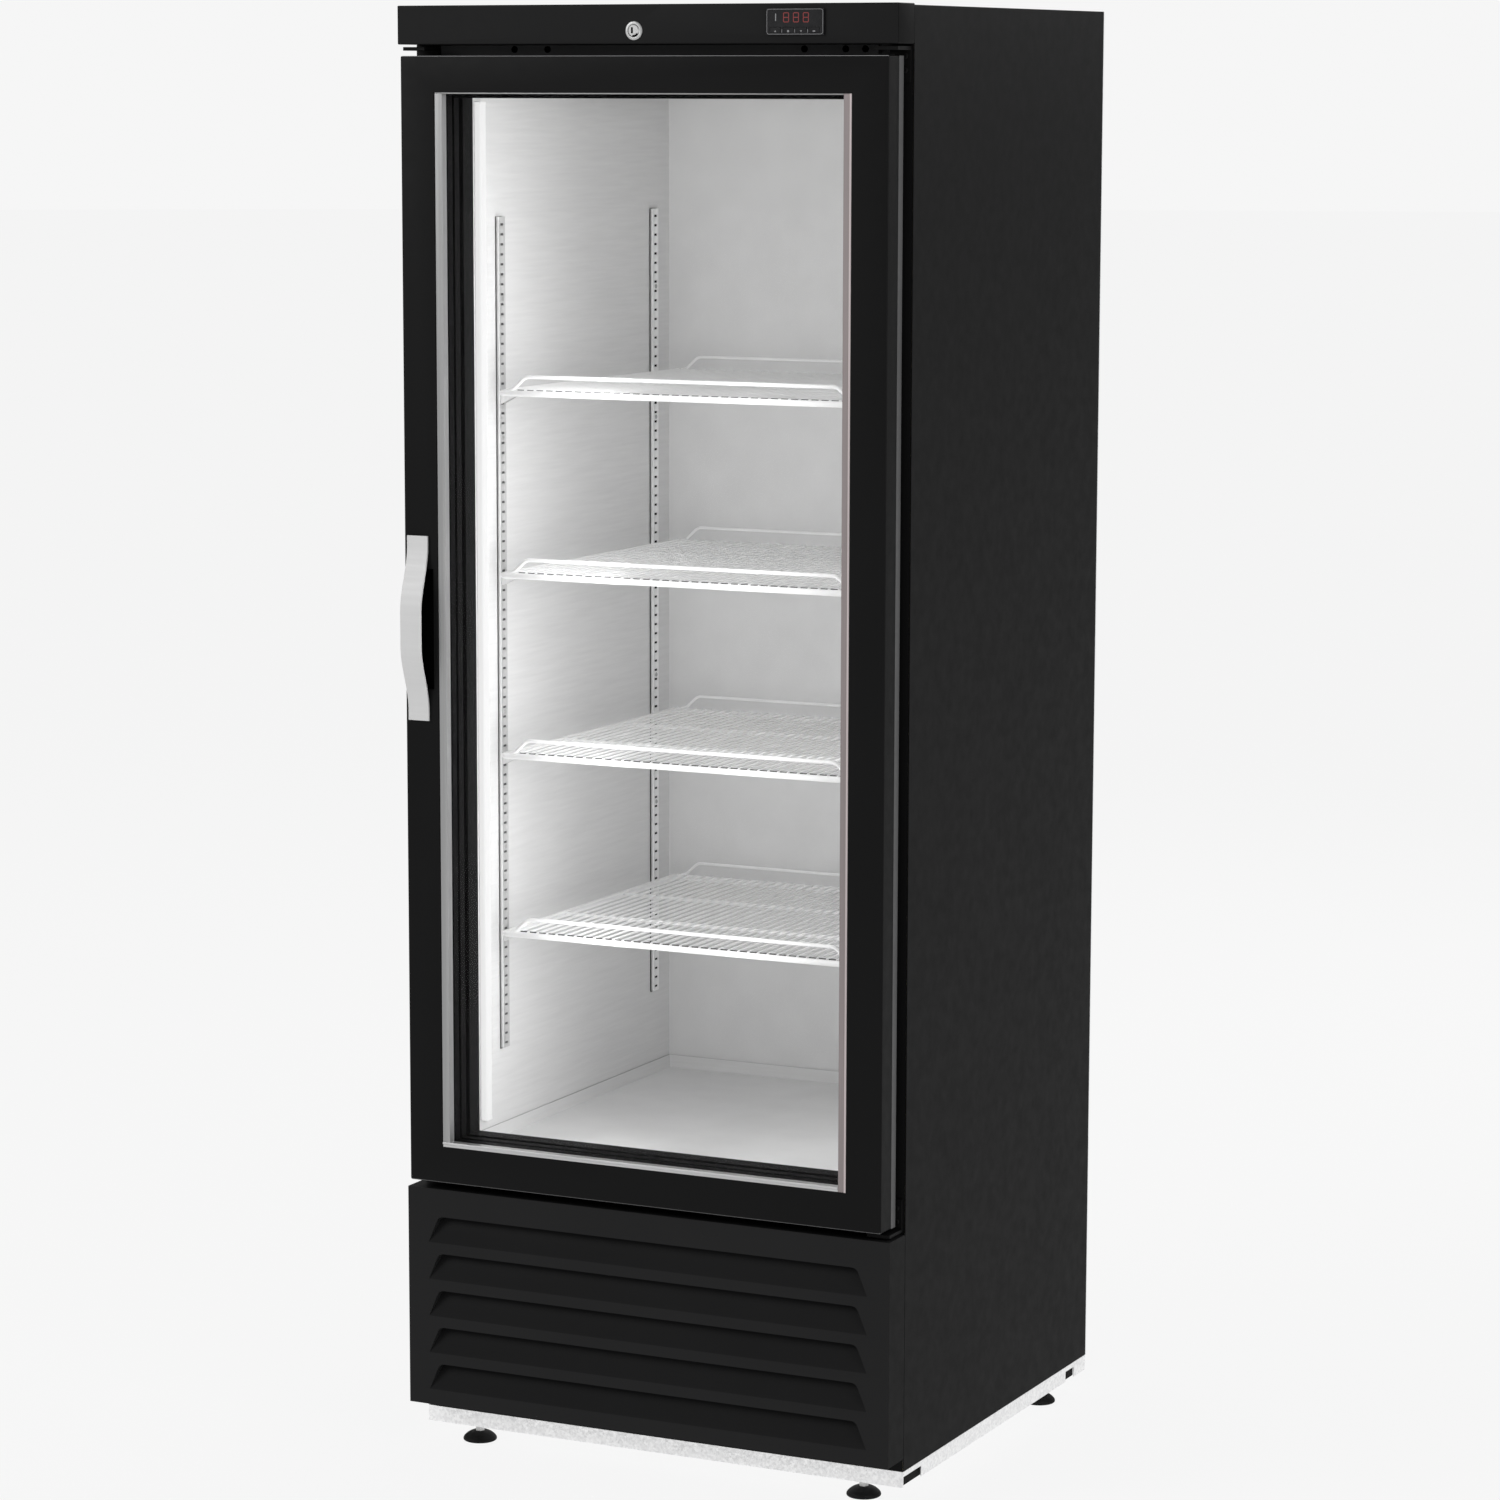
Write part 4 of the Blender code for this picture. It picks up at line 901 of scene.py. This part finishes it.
# ---- Hinges ----
def hinge_screws():
    """Two pairs of screws in each hinge plate."""
    columns = (0.3155, 0.3325)
    rows = (0.014, 0.031)
    data = bmesh.new()
    for plate, side in (("top", 1), ("spare", -1), ("bottom", 1)):
        low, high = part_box(f"hinge_plate_{plate}")
        up = 1 if plate == "bottom" else -1
        base = low.z if up > 0 else high.z
        for x in columns:
            for row in rows:
                centre = (side * x, high.y - 0.003, base + up * row)
                add_screw(data, centre, "y", radius=0.0036, height=0.0020)
    piece("hinge_screws", data, "frame_black", CABINET)


# ---- Lock and controller ----
def lock():
    """The collar on the header, the barrel that turns with its cam, and the keyway."""
    low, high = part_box("lock_housing")
    centre = Vector(((low.x + high.x) / 2, 0, (low.z + high.z) / 2))
    axis = (centre.x, centre.z)
    front = low.y
    data = bmesh.new()
    profile = [
        (0.0076, front + 0.0008), (0.0080, front + 0.0002), (0.0090, front),
        (0.0102, front + 0.0002), (0.0112, front + 0.0007), (0.0115, front + 0.0013),
        (0.0095, front + 0.0014), (0.0095, high.y), (0.0076, high.y),
    ]
    add_lathe(data, profile, centre, "Y", 48, closed=True)
    piece("lock_collar", data, "lock", CABINET, ["lock_housing"])
    plug_low, plug_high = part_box("lock_plug")
    face = plug_low.y
    back = plug_high.y - 0.002
    data = bmesh.new()
    profile = [
        (0, face + 0.0003), (0.0066, face + 0.0003), (0.0073, face + 0.0010), (0.0074, back),
        (0, back),
    ]
    add_lathe(data, profile, centre, "Y", 40)
    cam_end = 0.006
    cam = arc(axis, cam_end, pi / 2, pi, 8)
    cam += arc((plug_high.x - cam_end, centre.z), cam_end, -pi / 2, pi, 8)
    add_prism(data, cam, plug_high.y - 0.0024, plug_high.y, "xz")
    piece("lock_barrel", data, "lock", "lock", ["lock_plug"], bevel=0.0002)
    # The keyway is a dark slot and hook laid on the plug's face: painted shadow standing in for the
    # opening
    data = bmesh.new()
    add_box(
        data,
        (centre.x - 0.0032, face - 0.0001, centre.z - 0.0030),
        (centre.x - 0.0009, face + 0.0006, centre.z + 0.0042),
    )
    hook = arc(axis, 0.0062, radians(262), radians(66), 8)
    add_tube(data, [(x, face + 0.0004, z) for x, z in hook], 0.0012)
    piece("keyway", data, "pocket", "lock", bevel=0.0001)


def add_segment(data, start, end, width, front, back):
    """One bar of a seven-segment digit, pointed at both ends, between two (x, z) points."""
    first = Vector((start[0], 0, start[1]))
    last = Vector((end[0], 0, end[1]))
    along = (last - first).normalized() * width / 2
    across = Vector((-along.z, 0, along.x))
    outline = [
        first, first + along + across, last - along + across,
        last, last - along - across, first + along - across,
    ]
    add_prism(data, [(p.x, p.z) for p in outline], front, back, "xz")


def controller():
    """The thermostat: a face plate, lit digits, printed marks, and an icon on each key."""
    refined(
        "controller_housing", "dark_face", bevel=0.0006, segments=3, split=True
    )
    low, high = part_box("controller_housing")
    front = low.y
    raised = (front - 0.00022, front - 0.0001)

    def border(inset, y):
        x0, x1, z0, z1 = low.x + inset, high.x - inset, low.z + inset, high.z - inset
        return [(x0, y, z0), (x1, y, z0), (x1, y, z1), (x0, y, z1)]

    keys_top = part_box("control_key_1")[1].z + 0.0008
    outline = rounded(border(0.0022, 0), 0.002, 4, closed=True)
    plate = list(dict.fromkeys((p.x, max(p.z, keys_top)) for p in outline))
    data = bmesh.new()
    add_prism(data, plate, front - 0.00012, front + 0.0003, "xz")
    piece(
        "controller_face", data, "dark_face", CABINET, ["display_window"],
        bevel=0.0001,
    )
    bottom, top = 1.8416, 1.8524
    middle = (bottom + top) / 2
    digits_left = 0.1935
    digit_pitch = 0.0131
    digit_width = 0.0068
    data = bmesh.new()
    for index in range(3):
        left = digits_left + digit_pitch * index
        right = left + digit_width
        bars = [((left, z), (right, z)) for z in (top, middle, bottom)]
        for x in (left, right):
            bars += [((x, middle), (x, top)), ((x, bottom), (x, middle))]
        for start, end in bars:
            add_segment(data, start, end, 0.0010, *raised)
    piece("display_digits", data, "digit", CABINET)
    data = bmesh.new()
    add_segment(data, (0.1830, 1.8425), (0.1830, 1.8520), 0.0012, *raised)
    for index in range(3):
        x = low.x + 0.0040 + (high.x - low.x - 0.008) * (index + 1) / 4
        add_segment(data, (x, 1.8290), (x, 1.8330), 0.0006, front - 0.0001, front + 0.0001)
    add_tube(data, rounded(border(0.0012, front), 0.0030, 5, closed=True), 0.00030, 6, closed=True)
    piece("controller_marks", data, "mark", CABINET)
    size = 0.0014
    icons = [
        [(-1, -0.7), (1, -0.7), (0, 1)],
        arc((0, 0), 1, 0, 11 * pi / 6, 11),
        [(-1, 0.7), (0, -1), (1, 0.7)],
        [(-1.2, -0.5), (1.2, -0.5), (1.2, 0.5), (-1.2, 0.5)],
    ]
    for number, icon in enumerate(icons, 1):
        key = f"control_key_{number}"
        refined(key, "dark_face", bevel=0.0003)
        key_low, key_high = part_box(key)
        x = (key_low.x + key_high.x) / 2
        z = key_low.z + 0.0018
        outline = [(x + u * size, z + v * size) for u, v in icon]
        data = bmesh.new()
        add_prism(data, outline, key_low.y - 0.00012, key_low.y + 0.0001, "xz")
        piece(f"{key}_icon", data, "mark", key, bevel=0.00005)


# ---- Inside the food compartment ----
def shelf(number):
    """A welded wire shelf: closed border, front-to-back wires, and a raised rail front and back."""
    node = f"shelf_{number}"
    low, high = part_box(node)
    level = high.z - RAIL_RISE
    half = high.x
    border = 0.0040
    wires = 37
    wire_inset = 0.0105
    edge = half - border
    data = bmesh.new()
    ends = (low.y + border, high.y - border)
    corners = [(-edge, ends[0]), (edge, ends[0]), (edge, ends[1]), (-edge, ends[1])]
    loop = rounded([(x, y, level - border) for x, y in corners], 0.006, 5, closed=True)
    add_tube(data, loop, border, 10, closed=True)
    for index in range(wires):
        x = -half + wire_inset + 2 * (half - wire_inset) * index / (wires - 1)
        path = [
            (x, low.y + 0.0034, level - 0.0012), (x, low.y + 0.0060, level - 0.0002),
            (x, high.y - 0.0060, level - 0.0002), (x, high.y - 0.0034, level - 0.0012),
        ]
        add_tube(data, path, 0.0016, 6)
    for share in (0.33, 0.67):
        y = low.y + (high.y - low.y) * share
        add_tube(data, [(-edge, y, level - 0.0036), (edge, y, level - 0.0036)], 0.0025, 6)
    rail = [
        (-0.245, -0.0010), (-0.237, 0.0010), (-0.219, 0.0174),
        (0.219, 0.0174), (0.237, 0.0010), (0.245, -0.0010),
    ]
    for y, radius in ((low.y + 0.0035, 0.0025), (high.y - 0.0035, 0.0019)):
        add_tube(data, rounded([(x, y, level + rise) for x, rise in rail], 0.006, 4), radius)
    piece(f"{node}_wires", data, "wire", node, [node], angle=60)
    # A rod just behind the front border in dark metal, seen between the wires: painted shadow where
    # the wires rise over the border
    rod_half = half - 0.010
    rod_y = low.y + 2 * border + 0.0012
    data = bmesh.new()
    add_tube(data, [(x, rod_y, level - 0.0005) for x in (-rod_half, rod_half)], 0.0011, 6)
    piece(f"{node}_tie_rod", data, "tie_rod", node, angle=60)


def pilaster(row, name, side):
    """A slotted upright with its screws, and a folded clip under each shelf corner."""
    node = f"pilaster_{row}_{name}"
    low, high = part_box(node)
    middle = (low.y + high.y) / 2
    wall = high.x if side > 0 else low.x
    face = wall - side * 0.005
    half = 0.008
    slot_half = 0.0042
    slot_rise = 0.0031
    pitch = 0.0127
    columns = [middle - half, middle - slot_half, middle + slot_half, middle + half]
    front = row == "front"
    data = bmesh.new()
    vert = shared_verts(data)

    def add_row(bottom, top, wanted=(0, 1, 2)):
        for column in wanted:
            y0, y1 = columns[column : column + 2]
            corners = ((y0, bottom), (y1, bottom), (y1, top), (y0, top))
            data.faces.new([vert(face, y, z) for y, z in corners])

    floor = low.z
    for index in range(int((high.z - low.z) / pitch)):
        slot_low = low.z + pitch * (index + 0.5) - slot_rise / 2
        add_row(floor, slot_low)
        floor = slot_low + slot_rise
        add_row(slot_low, floor, (0, 2))
    add_row(floor, high.z)
    heights = sorted({round(v.co.z, 6) for v in data.verts})
    for y in (columns[0], columns[3]):
        flange = [vert(face, y, z) for z in heights]
        data.faces.new(flange + [vert(wall, y, high.z), vert(wall, y, low.z)])
    for z in (low.z, high.z):
        cap = [vert(face, y, z) for y in columns]
        data.faces.new(cap + [vert(wall, columns[3], z), vert(wall, columns[0], z)])
    # The front uprights' faces take the darker copy and their flanges that face front and back the
    # bright one: painted shade and painted highlight by facing
    look = "strip_face" if front else "strip"
    made = piece(f"{node}_strip", data, look, CABINET, [node], sheet=0.0009)
    made.data.materials.append(LOOKS["strip"])
    for polygon in made.data.polygons:
        if abs(polygon.normal.y) > 0.9:
            polygon.material_index = 1
    # Painted shadow: the dark back of the slots, and a dark rim where the upright meets the wall,
    # in grey on the front uprights
    data = bmesh.new()
    for near, far, left, right, down, up in (
        (face + side * 0.0011, 0.0003, 0.0060, 0.0060, -0.002, -0.002),
        (wall - side * 0.0009, 0.0002, half + 0.0013, half + 0.0004, 0.0014, 0.0004),
    ):
        x0, x1 = sorted((near, wall - side * far))
        add_box(data, (x0, middle - left, low.z - down), (x1, middle + right, high.z + up))
    look = "rim_grey" if front else "black_plastic"
    piece(f"{node}_slot_shadow", data, look, CABINET, bevel=0.0002)
    data = bmesh.new()
    for index in range(6):
        z = low.z + pitch * (7 + 14 * index)
        add_screw(data, (face, middle, z), "x", radius=0.0030, height=0.0012, sign=-side)
    piece(f"{node}_screws", data, "lock", CABINET)
    root, tip = wall - side * 0.0002, wall - side * 0.0240
    border_depth = 0.0083
    clip_height = 0.0117
    plate_thickness = 0.0014
    data = bmesh.new()
    for number in SHELVES:
        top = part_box(f"shelf_{number}")[1].z - RAIL_RISE - border_depth
        foot_z, under = top - clip_height, top - plate_thickness
        cheek = [
            (root, foot_z), (face - side * 0.002, foot_z),
            (wall - side * 0.0235, top - 2 * plate_thickness), (tip, top), (root, top),
        ]
        plate = [(tip, under), (tip, top), (root, top), (root, under)]
        for outline, start, end in (
            (cheek, -0.0060, -0.0048), (cheek, 0.0048, 0.0060), (plate, -0.0050, 0.0050),
        ):
            add_prism(data, outline, middle + start, middle + end, "xz")
    piece(f"{node}_clips", data, "zinc", CABINET, bevel=0.0003)


def light_bar(name, side):
    """An aluminium back plate against the wall under a lit cover that wraps it."""
    node = f"light_bar_{name}"
    low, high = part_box(node)
    wall, tip = (high.x, low.x) if side > 0 else (low.x, high.x)
    back = wall - side * 0.0012
    corner = 0.0030
    end_gap = 0.004
    data = bmesh.new()
    x0, x1 = sorted((back, wall))
    add_box(data, (x0, low.y + 0.0002, low.z), (x1, high.y - 0.0002, high.z))
    piece(f"{node}_plate", data, "zinc", CABINET, [node], bevel=0.0002)
    data = bmesh.new()
    turn = -side * pi / 2
    bend = tip + side * corner
    cover = [(back, low.y), (bend, low.y)]
    cover += arc((bend, low.y + corner), corner, -pi / 2, turn, 6)
    cover += arc((bend, high.y - corner), corner, -pi / 2 + turn, turn, 6)
    cover.append((back, high.y))
    outline = list(dict.fromkeys((round(x, 6), round(y, 6)) for x, y in cover))
    add_prism(data, outline, low.z + end_gap, high.z - end_gap, "xy")
    piece(f"{node}_cover", data, "diffuser", CABINET)
    # The end caps take the glowing cover look too: painted light on parts that are no lamp
    data = bmesh.new()
    x0, x1 = sorted((wall, tip))
    for bottom, top in ((low.z, low.z + 0.0038), (high.z - 0.0038, high.z)):
        add_box(data, (x0, low.y + 0.0003, bottom), (x1, high.y - 0.0003, top))
    piece(f"{node}_glowing_caps", data, "diffuser", CABINET, bevel=0.0008, segments=3)


def evaporator():
    """The coil over the cover, and the wire guard under its fan."""
    low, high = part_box("evaporator_fan")
    centre = ((low.x + high.x) / 2, (low.y + high.y) / 2)
    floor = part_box("evaporator_cover")[0].z
    data = bmesh.new()
    for radius in (0.020, 0.032, 0.044, 0.056, 0.068, 0.080):
        ring = arc(centre, radius, 0, 2 * pi * 39 / 40, 39)
        add_tube(data, [(x, y, floor - 0.0006) for x, y in ring], 0.0008, 6, closed=True)
    spokes = [arc(centre, radius, pi / 4, 1.5 * pi, 3) for radius in (0.012, 0.083)]
    for ends in zip(*spokes):
        add_tube(data, [(x, y, floor - 0.0018) for x, y in ends], 0.0010, 6)
    piece("evaporator_fan_guard", data, "wire", CABINET, angle=60)
    fins("evaporator_coil", 62, rows=2, columns=7)


# ---- Machine compartment ----
def fins(node, count, rows, columns):
    """A finned coil: thin plates across X, and rows and columns of tubes through them."""
    low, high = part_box(node)
    span = high - low
    data = bmesh.new()
    for index in range(count):
        x = low.x + 0.004 + (span.x - 0.0084) * index / (count - 1)
        add_box(data, (x, low.y, low.z), (x + 0.0004, high.y, high.z))
    piece(f"{node}_fins", data, "fins", CABINET, [node])
    data = bmesh.new()
    for row in range(rows):
        z = low.z + span.z * (row + 0.5) / rows
        for column in range(columns):
            y = low.y + span.y * (column + 0.5) / columns
            add_tube(data, [(low.x + 0.0005, y, z), (high.x - 0.0005, y, z)], 0.0040, 8)
    piece(f"{node}_tubes", data, "copper", CABINET, angle=50)


def machine():
    """The condenser coil, and the copper tubes from the compressor."""
    fins("condenser_coil", 90, rows=9, columns=2)
    runs = [
        [(-0.130, 0.070, 0.190), (-0.130, 0.025, 0.190), (-0.130, 0.025, 0.270),
         (0.150, -0.080, 0.270), (0.195, -0.120, 0.270), (0.195, -0.212, 0.270),
         (0.176, -0.212, 0.270)],
        [(-0.200, 0.200, 0.215), (-0.200, 0.250, 0.215), (-0.200, 0.270, 0.350)],
        [(-0.100, 0.200, 0.215), (-0.090, 0.260, 0.215), (-0.090, 0.270, 0.350)],
    ]
    data = bmesh.new()
    for run in runs:
        add_tube(data, rounded(run, 0.018, 5), 0.0035, 10)
    piece("refrigerant_tubes", data, "copper", CABINET, angle=50)


# ---- Feet ----
def foot(name):
    """A rubber pad, a hexagonal nut and a threaded stem."""
    node = f"leveling_foot_{name}"
    low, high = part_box(node)
    centre = Vector(((low.x + high.x) / 2, (low.y + high.y) / 2, 0))
    pad = [
        (0, 0), (0.0195, 0), (0.0211, 0.0004), (0.0220, 0.0012), (0.0222, 0.0024),
        (0.0219, 0.0038), (0.0209, 0.0054), (0.0190, 0.0074), (0.0165, 0.0094),
        (0.0138, 0.0110), (0.0110, 0.0122), (0.0085, 0.0128), (0.0066, 0.0130), (0, 0.0130),
    ]
    data = bmesh.new()
    add_lathe(data, pad, centre, "Z", 44)
    piece(f"foot_pad_{name}", data, "rubber", node, [node])
    data = bmesh.new()
    add_prism(data, arc(centre, 0.0064, 0, 5 * pi / 3, 5), 0.0124, 0.0215, "xy")
    piece(f"foot_nut_{name}", data, "white", node, bevel=0.0006)
    pitch = 0.0012
    stem = [(0, 0.0190), (0.0046, 0.0190)]
    height = 0.0196
    while height < high.z - pitch:
        stem += [(0.0050, height), (0.0043, height + pitch / 2)]
        height += pitch
    stem.append((0, height))
    data = bmesh.new()
    add_lathe(data, stem, centre, "Z", 24)
    piece(f"foot_stem_{name}", data, "zinc", node)


# ---- Stage, lights and camera ----
def stage():
    """A wide pale floor with the same brightness as the pale surroundings."""
    data = bmesh.new()
    rim = arc((0, 0), 60, 0, 2 * pi * 95 / 96, 95)
    data.faces.new([data.verts.new((x, y, -0.0002)) for x, y in rim])
    floor = new_object("floor", data)
    pale = coat(
        "pale_floor", (0.05, 0.05, 0.05), 0.9, (0.6, 0.01), Specular_IOR_Level=0.0,
        Emission_Color=(1, 1, 1, 1), Emission_Strength=FLOOR_GLOW,
    )
    floor.data.materials.append(pale)


def surroundings():
    """A pale backdrop for the camera, and a softer, dimmer room for light and reflections."""
    world = bpy.data.worlds.new("studio")
    bpy.context.scene.world = world
    world.use_nodes = True
    tree = world.node_tree
    room = tree.nodes["Background"]
    room.inputs["Color"].default_value = (ROOM, ROOM, ROOM, 1)
    backdrop = add_node(tree, "Background", Color=(BACKDROP, BACKDROP, BACKDROP, 1))
    path = add_node(tree, "LightPath")
    mix = add_node(tree, "MixShader")
    tree.links.new(path.outputs["Is Camera Ray"], mix.inputs[0])
    tree.links.new(room.outputs[0], mix.inputs[1])
    tree.links.new(backdrop.outputs[0], mix.inputs[2])
    tree.links.new(mix.outputs[0], tree.nodes["World Output"].inputs["Surface"])


def softbox(name, place, target, size, power):
    """A rectangular soft light at place, aimed at the target."""
    data = bpy.data.lights.new(name, "AREA")
    data.shape = "RECTANGLE"
    data.size, data.size_y = size
    data.energy = power
    lamp = bpy.data.objects.new(name, data)
    lamp.location = place
    aim = Vector(target) - Vector(place)
    lamp.rotation_euler = aim.to_track_quat("-Z", "Y").to_euler()
    lamp.visible_camera = False
    lamp.visible_transmission = False
    bpy.context.scene.collection.objects.link(lamp)
    return lamp


def camera():
    """The photograph's viewpoint: a long lens from the right of the cabinet's front."""
    place = Vector((2.6404, -5.4697, 1.7716))
    turn = radians(26.17)
    down = radians(9.085)
    roll = radians(0.075)
    ahead = Vector((-sin(turn) * cos(down), cos(turn) * cos(down), -sin(down)))
    level = Vector((cos(turn), sin(turn), 0))
    up = level.cross(ahead)
    right = level * cos(roll) + up * sin(roll)
    top = up * cos(roll) - level * sin(roll)
    data = bpy.data.cameras.new("camera")
    data.sensor_width = 36
    data.lens = 112.33
    data.shift_x = 0.0203
    data.shift_y = 0.0529
    data.clip_end = 200
    made = bpy.data.objects.new("camera", data)
    axes = Matrix((right, top, -ahead)).transposed().to_4x4()
    made.matrix_world = Matrix.Translation(place) @ axes
    bpy.context.scene.collection.objects.link(made)
    bpy.context.scene.camera = made


def main():
    """Camera, light and floor first, then every piece."""
    bpy.context.scene.view_settings.view_transform = "Standard"
    camera()
    surroundings()
    stage()
    softbox("key_light", (-3.2, -3.6, 3.4), (0, 0, 1.0), (2.6, 2.6), 120)
    softbox("fill_light", (4.2, -2.0, 2.2), (0, 0, 1.0), (2.0, 3.0), 60)
    softbox("back_light", (0.5, 4.0, 3.2), (0, 0, 1.0), (3.0, 2.0), 90)
    softbox("left_strip", (-0.080, -0.262, 1.085), (-0.2775, -0.180, 1.085), (0.03, 1.30), 1.30)
    softbox("right_strip", (0.080, -0.262, 1.085), (0.2775, -0.100, 1.085), (0.03, 1.30), 0.30)
    softbox("inner_wash", (0.02, -0.255, 1.085), (0.22, 0.30, 1.085), (0.30, 1.28), 0.80)
    for (look, slot), bevels in PLAIN.items():
        for node, bevel in bevels.items():
            refined(node, look, bevel)
    body_shell()
    body_screws()
    grille()
    door()
    window_trim()
    gasket()
    handle()
    hinge_screws()
    lock()
    controller()
    for number in SHELVES:
        shelf(number)
    for name, side in SIDES.items():
        light_bar(name, side)
        for row in ("front", "rear"):
            pilaster(row, name, side)
    evaporator()
    machine()
    for name in ("front_left", "front_right", "rear_left", "rear_right"):
        foot(name)


main()
